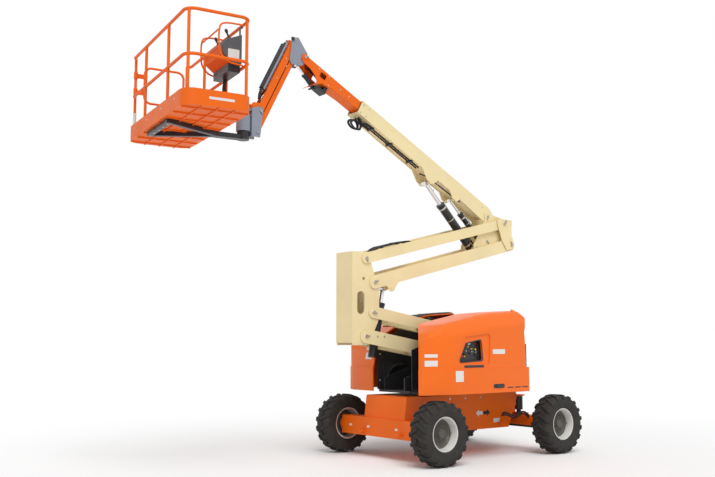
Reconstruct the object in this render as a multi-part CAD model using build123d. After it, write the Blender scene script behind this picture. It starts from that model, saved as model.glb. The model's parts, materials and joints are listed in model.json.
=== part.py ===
"""Articulating boom lift: one STEP file for each sub-part, in millimetres.

Frame: +X forward, towards the work platform, +Y to the machine's left, +Z up.
The origin is on the ground, under the centre of the slewing ring.
"""
from build123d import *
from math import atan2, cos, degrees, hypot, pi, radians, sin, tan
import os

# ---------------------------------------------------------------- driving dimensions
running_gap = 0.5            # radial play round a pin, and beside a washer
side_play = 7.0              # sideways room between plates that pass each other

# wheels
wheelbase = 2330.0
overall_width = 2344.0
tyre_radius = 419.0
tyre_width = 305.0
lug_height = 24.0
lugs_per_side = 20
lug_length = 122.0
lug_width = 46.0
lug_slant = 28.0             # degrees from the axle's direction
rim_radius = 214.0
rim_wall = 12.0
hub_radius = 95.0
bolt_count = 8
bolt_circle = 150.0

# chassis
frame_half_width = 430.0
frame_top = 850.0
frame_bottom = 350.0
frame_front = 1200.0
frame_rear = -960.0
axle_height_section = 250.0
axle_depth_section = 220.0
kingpin_y = 800.0
kingpin_radius = 26.0
slew_radius = 430.0
slew_height = 44.0

# turntable
base_plate = 30.0
channel_inner = 203.0        # inner face of the plates that carry the lower arms
channel_plate = 18.0
hood_inner_y = 330.0
hood_outer_y = 1062.0
hood_wall = 22.0
hood_bottom = 905.0

# tower, at rest
lower_angle = 9.5            # lower arms rise forward
lower_length = 2255.0
lower_depth = 157.0
lower_link_depth = 188.0
tower_pivot = (-650.0, 1619.0)
lower_offset = (131.0, -321.0)   # from the lower arm's pivots to the lower link's
upright_lift = (-22.0, 409.0)    # from the lower arm's front pivot to the upper arm's
upper_angle = 14.23          # upper arms rise rearward
upper_length = 2806.0
upper_depth = 180.0
upper_link_depth = 145.0
upper_offset = (147.0, 319.0)    # from the upper arm's pivots to the upper link's
rail_outer = 196.0           # outer face of the arms
rail_plate = 12.0
rail_inner = 150.0
upright_outer = 178.0
upright_plate = 18.0
tower_pin = 25.0

# boom, at rest, in its own frame: u along it from the pivot, w square to it
boom_angle = 27.3
boom_pivot_offset = (438.0, 410.0)   # from the upper arm's rear pivot
boom_front = 2809.0
boom_top = 145.0
boom_height = 196.0
boom_half = 120.0
boom_wall = 8.0
fly_half = 98.0
fly_top = 123.0
fly_height = 158.0
fly_wall = 7.0
fly_rear = 300.0
fly_tip = 3845.0
knuckle_pin = (3857.0, 91.0)

# jib, at rest
jib_angle = -63.0
jib_length = 1160.0
jib_arm_depth = 90.0
jib_link_depth = 64.0
jib_outer = 62.0
jib_plate = 9.0
jib_top = (2800.0, 5550.0)
jib_offset = (45.0, -288.0)      # from the jib arm's pivots to the jib link's

# platform, in its own frame: x forward from the rotator's axis, y to the left
platform_yaw = -8.4
rotator_x = 3535.0
platform_reach = 745.0
platform_length = 2240.0
platform_width = 820.0
platform_floor = 4180.0
platform_corner = 150.0
floor_thick = 38.0
skirt_height = 150.0
rail_height = 1100.0
rail_tube = 19.0

nodes = {}


# ---------------------------------------------------------------- small tools
def slab(face, y0, y1):
    """A face drawn in X and Z, made solid from y0 to y1."""
    return extrude(Plane.XZ.offset(-y1) * face, amount=y1 - y0, dir=(0, -1, 0))


def both_sides(face, y0, y1):
    """The same slab on the left and on the right."""
    return slab(face, y0, y1) + slab(face, -y1, -y0)


def disc(point, radius):
    return Pos(point[0], point[1]) * Circle(radius)


def poly(*points):
    return Polygon(*points, align=None)


def box(x0, x1, y0, y1, z0, z1):
    """A box from its six faces."""
    centre = Pos((x0 + x1) / 2, (y0 + y1) / 2, (z0 + z1) / 2)
    return centre * Box(x1 - x0, y1 - y0, z1 - z0)


def cyl_y(point, radius, y0, y1):
    return slab(disc(point, radius), y0, y1)


def cyl_z(x, y, radius, z0, z1):
    return Pos(x, y, z0) * extrude(Circle(radius), amount=z1 - z0)


def add(point, offset):
    return (point[0] + offset[0], point[1] + offset[1])


def turned(point, angle):
    """A point in X and Z turned upwards by an angle about the origin."""
    c, s = cos(radians(angle)), sin(radians(angle))
    return (point[0] * c - point[1] * s, point[0] * s + point[1] * c)


def frame_at(point, angle):
    """The place of a part drawn along +X, with its start at a point, raised by an angle."""
    return Pos(point[0], 0, point[1]) * Rot(0, -angle, 0)


def bar(length, depth):
    """Side view of an arm with round ends, from one pivot to the other."""
    half = depth / 2
    return poly((0, -half), (length, -half), (length, half), (0, half)) + disc((0, 0), half) + disc((length, 0), half)


def tube_path(points, radius, bend, close=False):
    """A round bar along straight runs joined by arcs."""
    path = FilletPolyline(*points, radius=bend, close=close)
    start = Plane(origin=path @ 0, z_dir=path % 0)
    return sweep(start * Circle(radius), path=path)


def rod_between(a, b, radius):
    """A straight round bar between two points."""
    line = Line(a, b)
    return sweep(Plane(origin=a, z_dir=line % 0) * Circle(radius), path=line)


# ---------------------------------------------------------------- pivots, worked out from the dimensions
lower_front = add(tower_pivot, turned((lower_length, 0), lower_angle))
link_rear = add(tower_pivot, lower_offset)
link_front = add(lower_front, lower_offset)
upper_front = add(lower_front, upright_lift)
upper_link_front = add(upper_front, upper_offset)
upper_rear = add(upper_front, turned((-upper_length, 0), -upper_angle))
upper_link_rear = add(upper_rear, upper_offset)
boom_pivot = add(upper_rear, boom_pivot_offset)


def on_boom(u, w):
    return add(boom_pivot, turned((u, w), boom_angle))


jib_link_top = add(jib_top, jib_offset)
jib_bottom = add(jib_top, turned((jib_length, 0), jib_angle))
jib_link_bottom = add(jib_bottom, jib_offset)
knuckle = on_boom(*knuckle_pin)
boom_place = frame_at(boom_pivot, boom_angle)
jib_place = frame_at(jib_top, jib_angle)
platform_place = Pos(rotator_x, 0, 0) * Rot(0, 0, platform_yaw)


# ---------------------------------------------------------------- wheels
def tyre_solid():
    """A tyre about the Y axis, centred on the origin, with slanted bar lugs fused to its tread."""
    half = tyre_width / 2
    tread = tyre_radius - lug_height
    shoulder = tread - 30
    section = poly(
        (rim_radius, -half + 45), (rim_radius + 20, -half + 45), (rim_radius + 80, -half + 4),
        (shoulder - 60, -half), (shoulder, -half + 12), (tread, -half + 42), (tread, half - 42),
        (shoulder, half - 12), (shoulder - 60, half), (rim_radius + 80, half - 4),
        (rim_radius + 20, half - 45), (rim_radius, half - 45))
    # the section lies in X and Y, with X as the radius and Y as the axle
    body = revolve(section, axis=Axis.Y, revolution_arc=360)
    lugs = []
    step = 360 / lugs_per_side
    for side, phase in ((1, 0), (-1, step / 2)):
        lug = Box(lug_length, lug_width, lug_height + 14)
        lug = Rot(0, 0, 90 + side * lug_slant) * lug
        lug = Pos(0, side * (half - lug_length / 2 - 6), tyre_radius - (lug_height + 14) / 2) * lug
        for i in range(lugs_per_side):
            lugs.append(Rot(0, phase + i * step, 0) * lug)
    crown = revolve(poly((rim_radius, -half), (tyre_radius - 26, -half), (tyre_radius, -half + 40),
                         (tyre_radius, half - 40), (tyre_radius - 26, half), (rim_radius, half)), axis=Axis.Y)
    return body + [lug & crown for lug in lugs]


def rim_solid(outward):
    """A dished rim with its hub and a ring of wheel bolts; outward is +1 or -1 along Y."""
    half = tyre_width / 2
    r = rim_radius - 0.5
    o = outward
    face = half - 78
    section = poly(
        (r, o * (half - 44.5)), (r + 14, o * (half - 44.5)), (r + 14, o * (half - 32)), (r - rim_wall, o * (half - 36)),
        (r - 34, o * (face + 14)), (r - 34, o * 20), (hub_radius + 20, o * 6), (hub_radius - 20, o * 6),
        (hub_radius - 20, o * -10), (hub_radius + 24, o * -10), (r - 34 - rim_wall, o * -2),
        (r - rim_wall, o * (-half + 50)), (r - rim_wall, o * (-half + 36)), (r + 14, o * (-half + 32)),
        (r + 14, o * (-half + 44.5)), (r, o * (-half + 44.5)))
    shape = revolve(section, axis=Axis.Y)
    return shape


def hub_solid(outward):
    """The drive hub that the rim is bolted to."""
    o = outward
    section = poly((0, o * -70), (hub_radius - 19, o * -70), (hub_radius - 19, o * 6.3),
                   (hub_radius - 30, o * 34), (52, o * 60), (0, o * 60))
    hub = revolve(section, axis=Axis.Y)
    for i in range(bolt_count):
        a = 2 * pi * i / bolt_count
        x, z = bolt_circle / 2 * 1.55 * cos(a), bolt_circle / 2 * 1.55 * sin(a)
        y0, y1 = sorted((o * 6.3, o * 20))
        hub += cyl_y((x * 0.52, z * 0.52), 9, y0, y1)
    return hub


track_half = overall_width / 2 - tyre_width / 2
wheel_places = {
    "front_left": (wheelbase / 2, track_half, 1),
    "front_right": (wheelbase / 2, -track_half, -1),
    "rear_left": (-wheelbase / 2, track_half, 1),
    "rear_right": (-wheelbase / 2, -track_half, -1),
}
tyre_shape = tyre_solid()
for name, (x, y, outward) in wheel_places.items():
    place = Pos(x, y, tyre_radius)
    nodes["tyre_" + name] = place * tyre_shape
    nodes["rim_" + name] = place * (rim_solid(outward) + hub_solid(outward))

# ---------------------------------------------------------------- chassis
side_outline = poly((frame_front + 60, frame_bottom + 60), (frame_front, frame_top), (frame_rear, frame_top),
                    (frame_rear - 30, frame_top - 60), (frame_rear + 170, frame_bottom),
                    (frame_front - 120, frame_bottom))
tub = both_sides(side_outline, frame_half_width - 20, frame_half_width)
tub += box(frame_rear, frame_front, -frame_half_width, frame_half_width, frame_top - 20, frame_top)
tub += box(frame_rear + 170, frame_front - 120, -frame_half_width, frame_half_width, frame_bottom, frame_bottom + 16)
nose = poly((frame_front + 60, frame_bottom + 60), (frame_front, frame_top), (frame_front - 20, frame_top),
            (frame_front + 40, frame_bottom + 60))
tub += slab(nose, -frame_half_width, frame_half_width)
tub += box(frame_rear, frame_rear + 20, -frame_half_width, frame_half_width, frame_top - 200, frame_top)
axle_x = wheelbase / 2
beam_half = track_half - 118
tub += box(axle_x - axle_depth_section / 2, axle_x + axle_depth_section / 2, -beam_half, beam_half,
           tyre_radius - axle_height_section / 2, tyre_radius + axle_height_section / 2)
for side in (-1, 1):
    y0, y1 = sorted((side * (beam_half - 20), side * (track_half - 70.3)))
    tub += cyl_y((axle_x, tyre_radius), 110, y0, y1)
tub += cyl_z(0, 0, slew_radius, frame_top - 40, frame_top + 1)
# tie-down lugs: two on the front beam and two on the rear plate
lug_radius = 42.0
lug_plate = 20.0
lug_bore = 22.0
# each row: x and y of the bore, height of the plate, and the direction back to the frame
tie_downs = [(axle_x + axle_depth_section / 2 + lug_radius, side * 400, tyre_radius - 70, (-1, 0)) for side in (1, -1)]
tie_downs += [(-600, side * (frame_half_width + lug_radius), frame_bottom + 60, (0, -side)) for side in (1, -1)]
for x, y, z, (bx, by) in tie_downs:
    foot = Pos(x + bx * lug_radius / 2, y + by * lug_radius / 2) * Rectangle(
        lug_radius * (2 - abs(bx)) + 4 * abs(bx), lug_radius * (2 - abs(by)) + 4 * abs(by))
    lug = Pos(x, y) * Circle(lug_radius) + foot - Pos(x, y) * Circle(lug_bore)
    tub += extrude(Pos(0, 0, z) * lug, amount=lug_plate, dir=(0, 0, 1))
for side in (-1, 1):
    tub += box(frame_rear - 160, frame_rear + 1, side * 400 - 62, side * 400 + 62, frame_top - 60, frame_top - 40)
nodes["chassis_frame"] = tub
nodes["slew_ring"] = cyl_z(0, 0, slew_radius - 20, frame_top + 1, frame_top + slew_height) - cyl_z(
    0, 0, slew_radius - 110, frame_top, frame_top + slew_height + 1)

# rear axle: the beam that rocks under the frame, with its fork ends for the knuckles
rear_x = -wheelbase / 2
fork = 70.0
beam = box(rear_x - 80, rear_x + 80, -kingpin_y + 120, kingpin_y - 120, tyre_radius - 70, tyre_radius + 90)
beam += box(rear_x - 60, rear_x + 60, -440, 440, tyre_radius + 88, tyre_radius + 119.7)
for side in (-1, 1):
    for z0, z1 in ((tyre_radius - 105, tyre_radius - fork), (tyre_radius + fork, tyre_radius + 105)):
        beam += box(rear_x - 50, rear_x + 50, *sorted((side * (kingpin_y - 140), side * kingpin_y)), z0, z1)
        beam += cyl_z(rear_x, side * kingpin_y, 50, z0, z1)
    y0, y1 = sorted((side * (kingpin_y - 140), side * (kingpin_y - 110)))
    beam += box(rear_x - 70, rear_x + 70, y0, y1, tyre_radius - 105, tyre_radius + 105)
    beam += cyl_z(rear_x, side * kingpin_y, kingpin_radius, tyre_radius - 115, tyre_radius + 115)
axle_pivot = slab(poly((rear_x - 90, tyre_radius + 60), (rear_x + 90, tyre_radius + 60),
                       (rear_x + 90, tyre_radius + 150), (rear_x - 90, tyre_radius + 150)), -150, 150)
beam += axle_pivot
nodes["rear_axle"] = beam
hanger = box(rear_x - 110, rear_x + 230, -170, 170, tyre_radius + 150.3, frame_top - 120)
hanger -= box(frame_rear + 0.0, frame_rear + 400, -200, 200, frame_top - 300, frame_top - 100)
nodes["axle_hanger"] = hanger & box(rear_x - 110, frame_rear - 0.3, -170, 170, 0, frame_top)

lockout = []
for side in (-1, 1):
    lockout.append(cyl_z(frame_rear - 92, side * 400, 60, tyre_radius + 170, frame_top - 60.3) +
                   cyl_z(frame_rear - 92, side * 400, 34, tyre_radius + 120, tyre_radius + 170))
nodes["lockout_cylinders"] = lockout[0] + lockout[1]

# knuckles, with the spindle, the drive motor and the steering arm
arm_y = kingpin_y
arm_x = rear_x + 210.0
for name, side in (("left", 1), ("right", -1)):
    y = side * kingpin_y
    block = cyl_z(rear_x, y, 52, tyre_radius - fork + 1, tyre_radius + fork - 1)
    y0, y1 = sorted((y, y + side * 60))
    block += box(rear_x - 50, rear_x + 50, y0, y1, tyre_radius - fork + 1, tyre_radius + fork - 1)
    y0, y1 = sorted((y + side * 58, side * (track_half - 70.3)))
    block += cyl_y((rear_x, tyre_radius), 88, y0, y1)
    y0, y1 = sorted((side * (arm_y - 40), side * (arm_y + 40)))
    block += box(rear_x, arm_x, y0, y1, tyre_radius - 30, tyre_radius + 8)
    block += cyl_z(arm_x, side * arm_y, 40, tyre_radius - 30, tyre_radius + 8)
    block -= cyl_z(rear_x, y, kingpin_radius + running_gap, 0, 2 * tyre_radius)
    block += cyl_z(arm_x, side * arm_y, 14, tyre_radius - 66, tyre_radius - 29)
    nodes["knuckle_" + name] = block
tie_z = tyre_radius - 54
tie = rod_between((arm_x, -arm_y, tie_z), (arm_x, arm_y, tie_z), 15)
for side in (-1, 1):
    tie += cyl_z(arm_x, side * arm_y, 26, tie_z - 14, tie_z + 14)
for side in (-1, 1):
    tie -= cyl_z(arm_x, side * arm_y, 14 + running_gap, tie_z - 20, tie_z + 20)
nodes["tie_rod"] = tie

# ---------------------------------------------------------------- turntable
deck = frame_top + slew_height
channel_outer = channel_inner + channel_plate
deck_plan = poly((1060, -320), (1060, 320), (760, 320), (760, 960), (-560, 960), (-560, 320), (-900, 320),
                 (-900, -320), (-560, -320), (-560, -960), (560, -960), (760, -700), (760, -320))
base = extrude(Pos(0, 0, deck) * deck_plan, amount=base_plate, dir=(0, 0, 1))
channel = poly((1050, deck + base_plate), (1050, deck + 200), (320, 1330), (-330, 1760), (-760, 1760),
               (-880, 1600), (-880, deck + base_plate))
base += both_sides(channel, channel_inner, channel_outer)
for pivot in (tower_pivot, link_rear):
    for side in (-1, 1):
        y0, y1 = sorted((side * 154, side * (channel_outer + 14)))
        base += cyl_y(pivot, tower_pin, y0, y1)
        y0, y1 = sorted((side * channel_outer, side * (channel_outer + 14)))
        base += cyl_y(pivot, tower_pin + 22, y0, y1)
wall_gap = 0.3
hinge_z = 1940.0
hood_pin = 9.0
hinge_places = ((-380, -300), (60, 140))
for side in (-1, 1):
    for x0, x1 in hinge_places:
        y0, y1 = sorted((side * (hood_inner_y - 14), side * (hood_inner_y - 24)))
        base += box(x0, x1, y0, y1, 1500, hinge_z)
        base += Pos(x0, side * (hood_inner_y - 10), hinge_z) * Rot(0, 90, 0) * extrude(
            Circle(hood_pin + 6), amount=x1 - x0, dir=(0, 0, 1))
        base += Pos(x0 - 60, side * (hood_inner_y - 10), hinge_z) * Rot(0, 90, 0) * extrude(
            Circle(hood_pin), amount=x1 - x0 + 60, dir=(0, 0, 1))
    y0, y1 = sorted((side * (hood_inner_y - 24), side * (hood_inner_y - 14)))
    base += slab(poly((1000, deck + 10), (1000, 1480), (250, 1720), (-500, 1760), (-560, 1700), (-560, deck + 10)), y0, y1)
nodes["turntable_frame"] = base
weight = box(-1165, -625, -640, 640, deck + base_plate + 0.3, 1560) & cyl_z(0, 0, 1165, 0, 2000)
nodes["counterweight"] = weight - box(-905, 0, -232, 232, 0, 2000)
nodes["engine_block"] = box(-200, 380, -860, -420, deck + base_plate, 1420)
nodes["hydraulic_tank"] = box(-520, -60, 380, 900, deck + base_plate, 1500)
nodes["fuel_tank"] = box(430, 1000, 322, 640, deck + base_plate, 1330)
nodes["ground_control"] = box(240, 520, 940, 970, 1380, 1660) + box(300, 460, 700, 940, 1420, 1620)
nodes["ground_control"] += box(320, 440, 700, 760, deck + base_plate, 1480)


def hood(front, side):
    """One engine-side cover: side view, plan and end view meet, and the inside is cut away."""
    def outer(inset):
        i = inset
        profile = poly((front - 40 - i, hood_bottom), (front - i, 1225), (front - 50 - i, 1560),
                       (front - 170 - i, 1680 - i), (250, 1985 - i), (-400, 2028 - i), (-520 + i, 1990 - i),
                       (-565 + i, 1890), (-545 + i, 1820), (-575 + i, 1245), (-600 + i, 1225), (-592 + i, hood_bottom))
        plan = poly((front + 60, 0), (front - i, 800), (front - 70 - i, 930 - i), (940, hood_outer_y - i),
                    (-480, hood_outer_y - i), (-620 + i, hood_outer_y - 90 - i), (-640 + i, 0))
        end = poly((hood_inner_y, hood_bottom), (hood_outer_y - 12 - i, hood_bottom), (hood_outer_y - i, 1225),
                   (hood_outer_y - 60 - i, 1800), (hood_outer_y - 150 - i, 1960 - i), (hood_inner_y + 120, 2030 - i),
                   (hood_inner_y, 2030 - i))
        a = slab(profile, 0, 1300)
        b = Pos(0, 0, 500) * extrude(plan, amount=2000, dir=(0, 0, 1))
        c = extrude(Plane.YZ.offset(-1500) * end, amount=3500, dir=(1, 0, 0))
        return a & b & c
    skin = outer(0)
    inner = outer(hood_wall)
    skin = skin - inner - Pos(0, -hood_wall - 5, 0) * inner - Pos(0, 0, -hood_wall - 5) * inner
    # two hinge sleeves near the top of the open inner side
    for x0, x1 in hinge_places:
        sleeve = box(x0 - 56, x0 - 4, hood_inner_y - 10, hood_inner_y + 60, hinge_z - 9, hinge_z + 9)
        sleeve += box(x0 - 56, x0 - 4, hood_inner_y + 40, hood_inner_y + 60, hinge_z - 9, 2005)
        sleeve += Pos(x0 - 56, hood_inner_y - 10, hinge_z) * Rot(0, 90, 0) * extrude(
            Circle(hood_pin + 7), amount=52, dir=(0, 0, 1))
        sleeve -= Pos(x0 - 60, hood_inner_y - 10, hinge_z) * Rot(0, 90, 0) * extrude(
            Circle(hood_pin + running_gap), amount=70, dir=(0, 0, 1))
        skin += sleeve
    if side < 0:
        skin = mirror(skin, about=Plane.XZ)
    return skin


nodes["hood_left"] = hood(1430, 1) - box(250, 500, 900, 1200, 1400, 1650)
nodes["hood_right"] = hood(1160, -1)


# ---------------------------------------------------------------- tower
def arm(length, depth, tubes, start, stop, front_ear=0.0):
    """A pair of side rails joined by cross tubes. tubes lists distances; start and stop bound the box part."""
    side = bar(length, depth)
    solid = both_sides(side, rail_outer - rail_plate, rail_outer)
    box_part = poly((start, -depth / 2 + 6), (stop, -depth / 2 + 6), (stop, depth / 2 - 6), (start, depth / 2 - 6))
    solid += both_sides(box_part, rail_inner, rail_outer - rail_plate)
    for u in tubes:
        solid += cyl_y((u, 0), 32, -rail_inner - 5, rail_inner + 5)
    for u in (0, length):
        solid -= cyl_y((u, 0), tower_pin + running_gap, -300, 300)
    return solid


nodes["lower_arm"] = frame_at(tower_pivot, lower_angle) * arm(lower_length, lower_depth, (620, 1150), 90, 1700)
nodes["lower_link"] = frame_at(link_rear, lower_angle) * arm(lower_length, lower_link_depth, (560, 1250), 90, 1950)
nodes["upper_arm"] = frame_at(upper_rear, -upper_angle) * arm(upper_length, upper_depth, (1450, 2150), 90, 2500)
nodes["upper_link"] = frame_at(upper_link_rear, -upper_angle) * arm(upper_length, upper_link_depth, (2050, 2350), 90, 2500)

u_front = lower_front[0] + 355
u_rear = lower_front[0] - 109
up_side = poly((u_front, upper_link_front[1] + 80), (upper_link_front[0] - 60, upper_link_front[1] + 90),
               (upper_link_front[0] - 95, upper_link_front[1] - 60), (upper_front[0] - 70, upper_front[1] - 60),
               (u_rear, upper_front[1] - 160), (u_rear, lower_front[1] + 20), (lower_front[0] - 96, lower_front[1] - 110),
               (link_front[0] - 60, link_front[1] - 122), (u_front - 12, link_front[1] - 122))
up = both_sides(up_side, upright_outer - upright_plate, upright_outer)
up += box(u_front - 26, u_front, -upright_outer, upright_outer, link_front[1] - 90, upper_link_front[1] + 75)
up += box(u_front - 300, u_front, -upright_outer, upright_outer, upper_link_front[1] + 66, upper_link_front[1] + 80)
for pivot in (lower_front, link_front, upper_front, upper_link_front):
    for side in (-1, 1):
        y0, y1 = sorted((side * 154, side * (rail_outer + running_gap)))
        up += cyl_y(pivot, tower_pin, y0, y1)
        y0, y1 = sorted((side * (rail_outer + running_gap), side * (rail_outer + 8)))
        up += cyl_y(pivot, tower_pin + 4, y0, y1)
nodes["upright"] = up

# end bracket: outer plates for the upper arms, a rear web and the boom's seat
lift_base_pin = 26.0
level_base_pin = 22.0
plate_in = rail_outer + side_play
plate_out = plate_in + 12
b_plate = poly((upper_rear[0] + 300, upper_rear[1] + 382), (upper_rear[0] - 20, upper_rear[1] + 382),
               (upper_rear[0] - 20, upper_rear[1] + 290), (upper_rear[0] + 10, upper_rear[1] + 180),
               (upper_rear[0] - 50, upper_rear[1] + 60), (upper_rear[0] - 50, upper_rear[1] - 60),
               (upper_rear[0] + 100, upper_rear[1] - 90), (upper_rear[0] + 205, upper_rear[1] + 50),
               (upper_rear[0] + 300, upper_rear[1] + 300))
bracket = both_sides(b_plate, plate_in, plate_out)
bracket += box(upper_rear[0] - 10, upper_rear[0] + 40, -plate_out, plate_out, upper_rear[1] + 110,
               upper_rear[1] + 382)
seat_half = boom_half + 5.5
lift_base = (upper_rear[0] + 688, upper_rear[1] - 90)
level_base = (upper_rear[0] + 468, upper_rear[1] + 30)
seat = poly((upper_rear[0] + 20, upper_rear[1] + 382), (upper_rear[0] + 20, upper_rear[1] + 110),
            (upper_rear[0] + 420, upper_rear[1] - 60), (lift_base[0] - 20, lift_base[1] - 60),
            (lift_base[0] + 60, lift_base[1] - 40), (lift_base[0] + 60, lift_base[1] + 50),
            (boom_pivot[0] + 60, boom_pivot[1] - 60), (boom_pivot[0] + 55, boom_pivot[1] + 40),
            (boom_pivot[0] - 60, boom_pivot[1] + 40))
bracket += both_sides(seat, seat_half, seat_half + 14)
for pivot in (upper_rear, upper_link_rear):
    for side in (-1, 1):
        y0, y1 = sorted((side * 154, side * (plate_out + 8)))
        bracket += cyl_y(pivot, tower_pin, y0, y1)
        y0, y1 = sorted((side * plate_out, side * (plate_out + 8)))
        bracket += cyl_y(pivot, tower_pin + 10, y0, y1)
for pivot, radius in ((lift_base, lift_base_pin), (level_base, level_base_pin)):
    bracket += cyl_y(pivot, radius, -seat_half - 18, seat_half + 18)
bracket += cyl_y(boom_pivot, 26, -seat_half - 18, seat_half + 18)
nodes["end_bracket"] = bracket


# ---------------------------------------------------------------- cylinders
def along_x(radius, u0, u1):
    return Pos(u0, 0, 0) * Rot(0, 90, 0) * extrude(Circle(radius), amount=u1 - u0, dir=(0, 0, 1))


def cylinder_pair(name, base, tip, radius, length, eye, pin, thick, travel, tail=0.0):
    """A barrel hung at its base pin and the rod that slides in it, with the rod's eye at the tip.

    travel is (how far the rod goes in, how far it comes out) from rest. With a tail the barrel is
    held by trunnions, and reaches past them.
    """
    angle = degrees(atan2(tip[1] - base[1], tip[0] - base[0]))
    reach = hypot(tip[0] - base[0], tip[1] - base[1])
    rod_radius = radius * 0.55
    start = length - 18 - travel[1]
    body = along_x(radius, -tail if tail else eye * 0.8, length)
    body += along_x(radius + 6, length - 34, length)
    if tail:
        for y0, y1 in ((radius - 8, rail_inner + 14), (-rail_inner - 14, 8 - radius)):
            body += cyl_y((0, 0), pin, y0, y1)
    else:
        body += cyl_y((0, 0), eye, -thick / 2, thick / 2)
        body -= cyl_y((0, 0), pin + running_gap, -200, 200)
    body -= along_x(rod_radius + 0.4, start - travel[0] - 8, length + 1)
    nodes[name + "_barrel"] = frame_at(base, angle) * body
    stem = along_x(rod_radius, start, reach - eye * 0.6)
    stem += cyl_y((reach, 0), eye, -thick / 2, thick / 2)
    stem -= cyl_y((reach, 0), pin + running_gap, -200, 200)
    nodes[name + "_rod"] = frame_at(base, angle) * stem


slave_pin = 13.0
lift_tip = on_boom(boom_front - 1591, boom_top - 313)
level_tip = on_boom(boom_front - 2122, boom_top - 270)
cylinder_pair("lift", lift_base, lift_tip, 58, 880, 44, lift_base_pin, 90, (250, 420))
cylinder_pair("level", level_base, level_tip, 38, 590, 31, level_base_pin, 56, (140, 225))
tower_base = (link_front[0] - 315, link_front[1] - 4)
tower_tip = (upper_front[0] - 299, upper_front[1] - 61)
cylinder_pair("tower", tower_base, tower_tip, 60, 470, 44, 24, 90, (160, 560), tail=290)
slave_base = on_boom(3520, -140)
slave_tip = add(knuckle, (80, -90))
cylinder_pair("slave", slave_base, slave_tip, 29, 222, 26, slave_pin, 46, (100, 60))
cylinder_pair("jib", jib_link_top, jib_bottom, 32, 828, 33, 17, 60, (0, 556))

# the lower link's trunnion blocks, and the upper arm's lug for the tower cylinder
lower_link = nodes["lower_link"] + both_sides(disc(tower_base, 50), rail_inner - 7, rail_outer - rail_plate)
nodes["lower_link"] = lower_link - cyl_y(tower_base, 24 + running_gap, -rail_inner - 30, rail_inner + 30)
lug = disc(tower_tip, 60) + poly(add(tower_tip, (-58, -10)), add(tower_tip, (58, -10)), add(tower_tip, (190, 90)),
                                 add(tower_tip, (-170, 140)))
upper = nodes["upper_arm"] + both_sides(lug, rail_outer - rail_plate, rail_outer)
for side in (-1, 1):
    upper += cyl_y(tower_tip, 24, *sorted((side * 49, side * (rail_outer + 6))))
    upper += cyl_y(tower_tip, 40, *sorted((side * 49, side * 66)))
nodes["upper_arm"] = upper

# ---------------------------------------------------------------- boom
f = boom_front
t = boom_top
boom_side = poly((f, t), (f, t - boom_height), (f - 1355, t - 215), (f - 1515, t - 321), (f - 1631, t - 325),
                 (f - 1701, t - 208), (f - 1963, t - 208), (f - 2068, t - 280), (f - 2156, t - 288),
                 (f - 2206, t - 217), (f - 2785, t - 248), (f - 2878, t - 134), (f - 2891, t - 37), (f - 2783, t))
base_boom = both_sides(boom_side, boom_half - 12, boom_half)
tube = slab(poly((f, t), (f, t - boom_height), (120, t - boom_height), (120, t)), -boom_half, boom_half)
tube -= slab(poly((f + 1, t - boom_wall), (f + 1, t - boom_height + boom_wall), (100, t - boom_height + boom_wall),
                  (100, t - boom_wall)), -boom_half + boom_wall, boom_half - boom_wall)
base_boom = base_boom + tube
base_boom -= cyl_y((0, 0), 26 + running_gap, -200, 200)
for u, w in ((boom_front - 1591, boom_top - 313), (boom_front - 2122, boom_top - 270)):
    for side in (-1, 1):
        y_in = 49 if u > 800 else 32
        base_boom += cyl_y((u, w), 24, *sorted((side * y_in, side * (boom_half + 4.5))))
pad_gap = 0.3
pad = (boom_front - 190, boom_front - 20)
for side in (-1, 1):
    y0, y1 = sorted((side * (fly_half + pad_gap), side * (boom_half - boom_wall + 1)))
    base_boom += box(*pad, y0, y1, fly_top - fly_height + 20, fly_top - 20)
base_boom += box(*pad, -70, 70, fly_top + pad_gap, boom_top - boom_wall + 1)
base_boom += box(*pad, -70, 70, boom_top - boom_height + boom_wall - 1, fly_top - fly_height - pad_gap)
nodes["boom_base"] = boom_place * base_boom

ft = fly_top
fly = slab(poly((fly_rear, ft), (fly_rear, ft - fly_height), (3520, ft - fly_height), (3520, ft)), -fly_half, fly_half)
fly -= slab(poly((fly_rear - 1, ft - fly_wall), (fly_rear - 1, ft - fly_height + fly_wall),
                 (3500, ft - fly_height + fly_wall), (3500, ft - fly_wall)), -fly_half + fly_wall, fly_half - fly_wall)
belly = poly((3370, ft), (3370, ft - fly_height), (3440, -84), (3540, -250), (3600, -250), (3640, -30), (3750, 20),
             (3845, 5), (3905, 60), (3905, 118), (3880, ft))
fly += both_sides(belly, fly_half - 10, fly_half)
fly += slab(poly((3500, ft), (3760, ft), (3760, ft - 8), (3500, ft - 8)), -fly_half, fly_half)
fly += slab(poly((3430, -70), (3540, -250), (3550, -245), (3440, -65)), -fly_half, fly_half)
for side in (-1, 1):
    fly += cyl_y(knuckle_pin, 22, *sorted((side * 50, side * (fly_half + 6))))
fly += cyl_y((3520, -140), slave_pin, -fly_half - 4, fly_half + 4)
nodes["boom_fly"] = boom_place * fly

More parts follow.
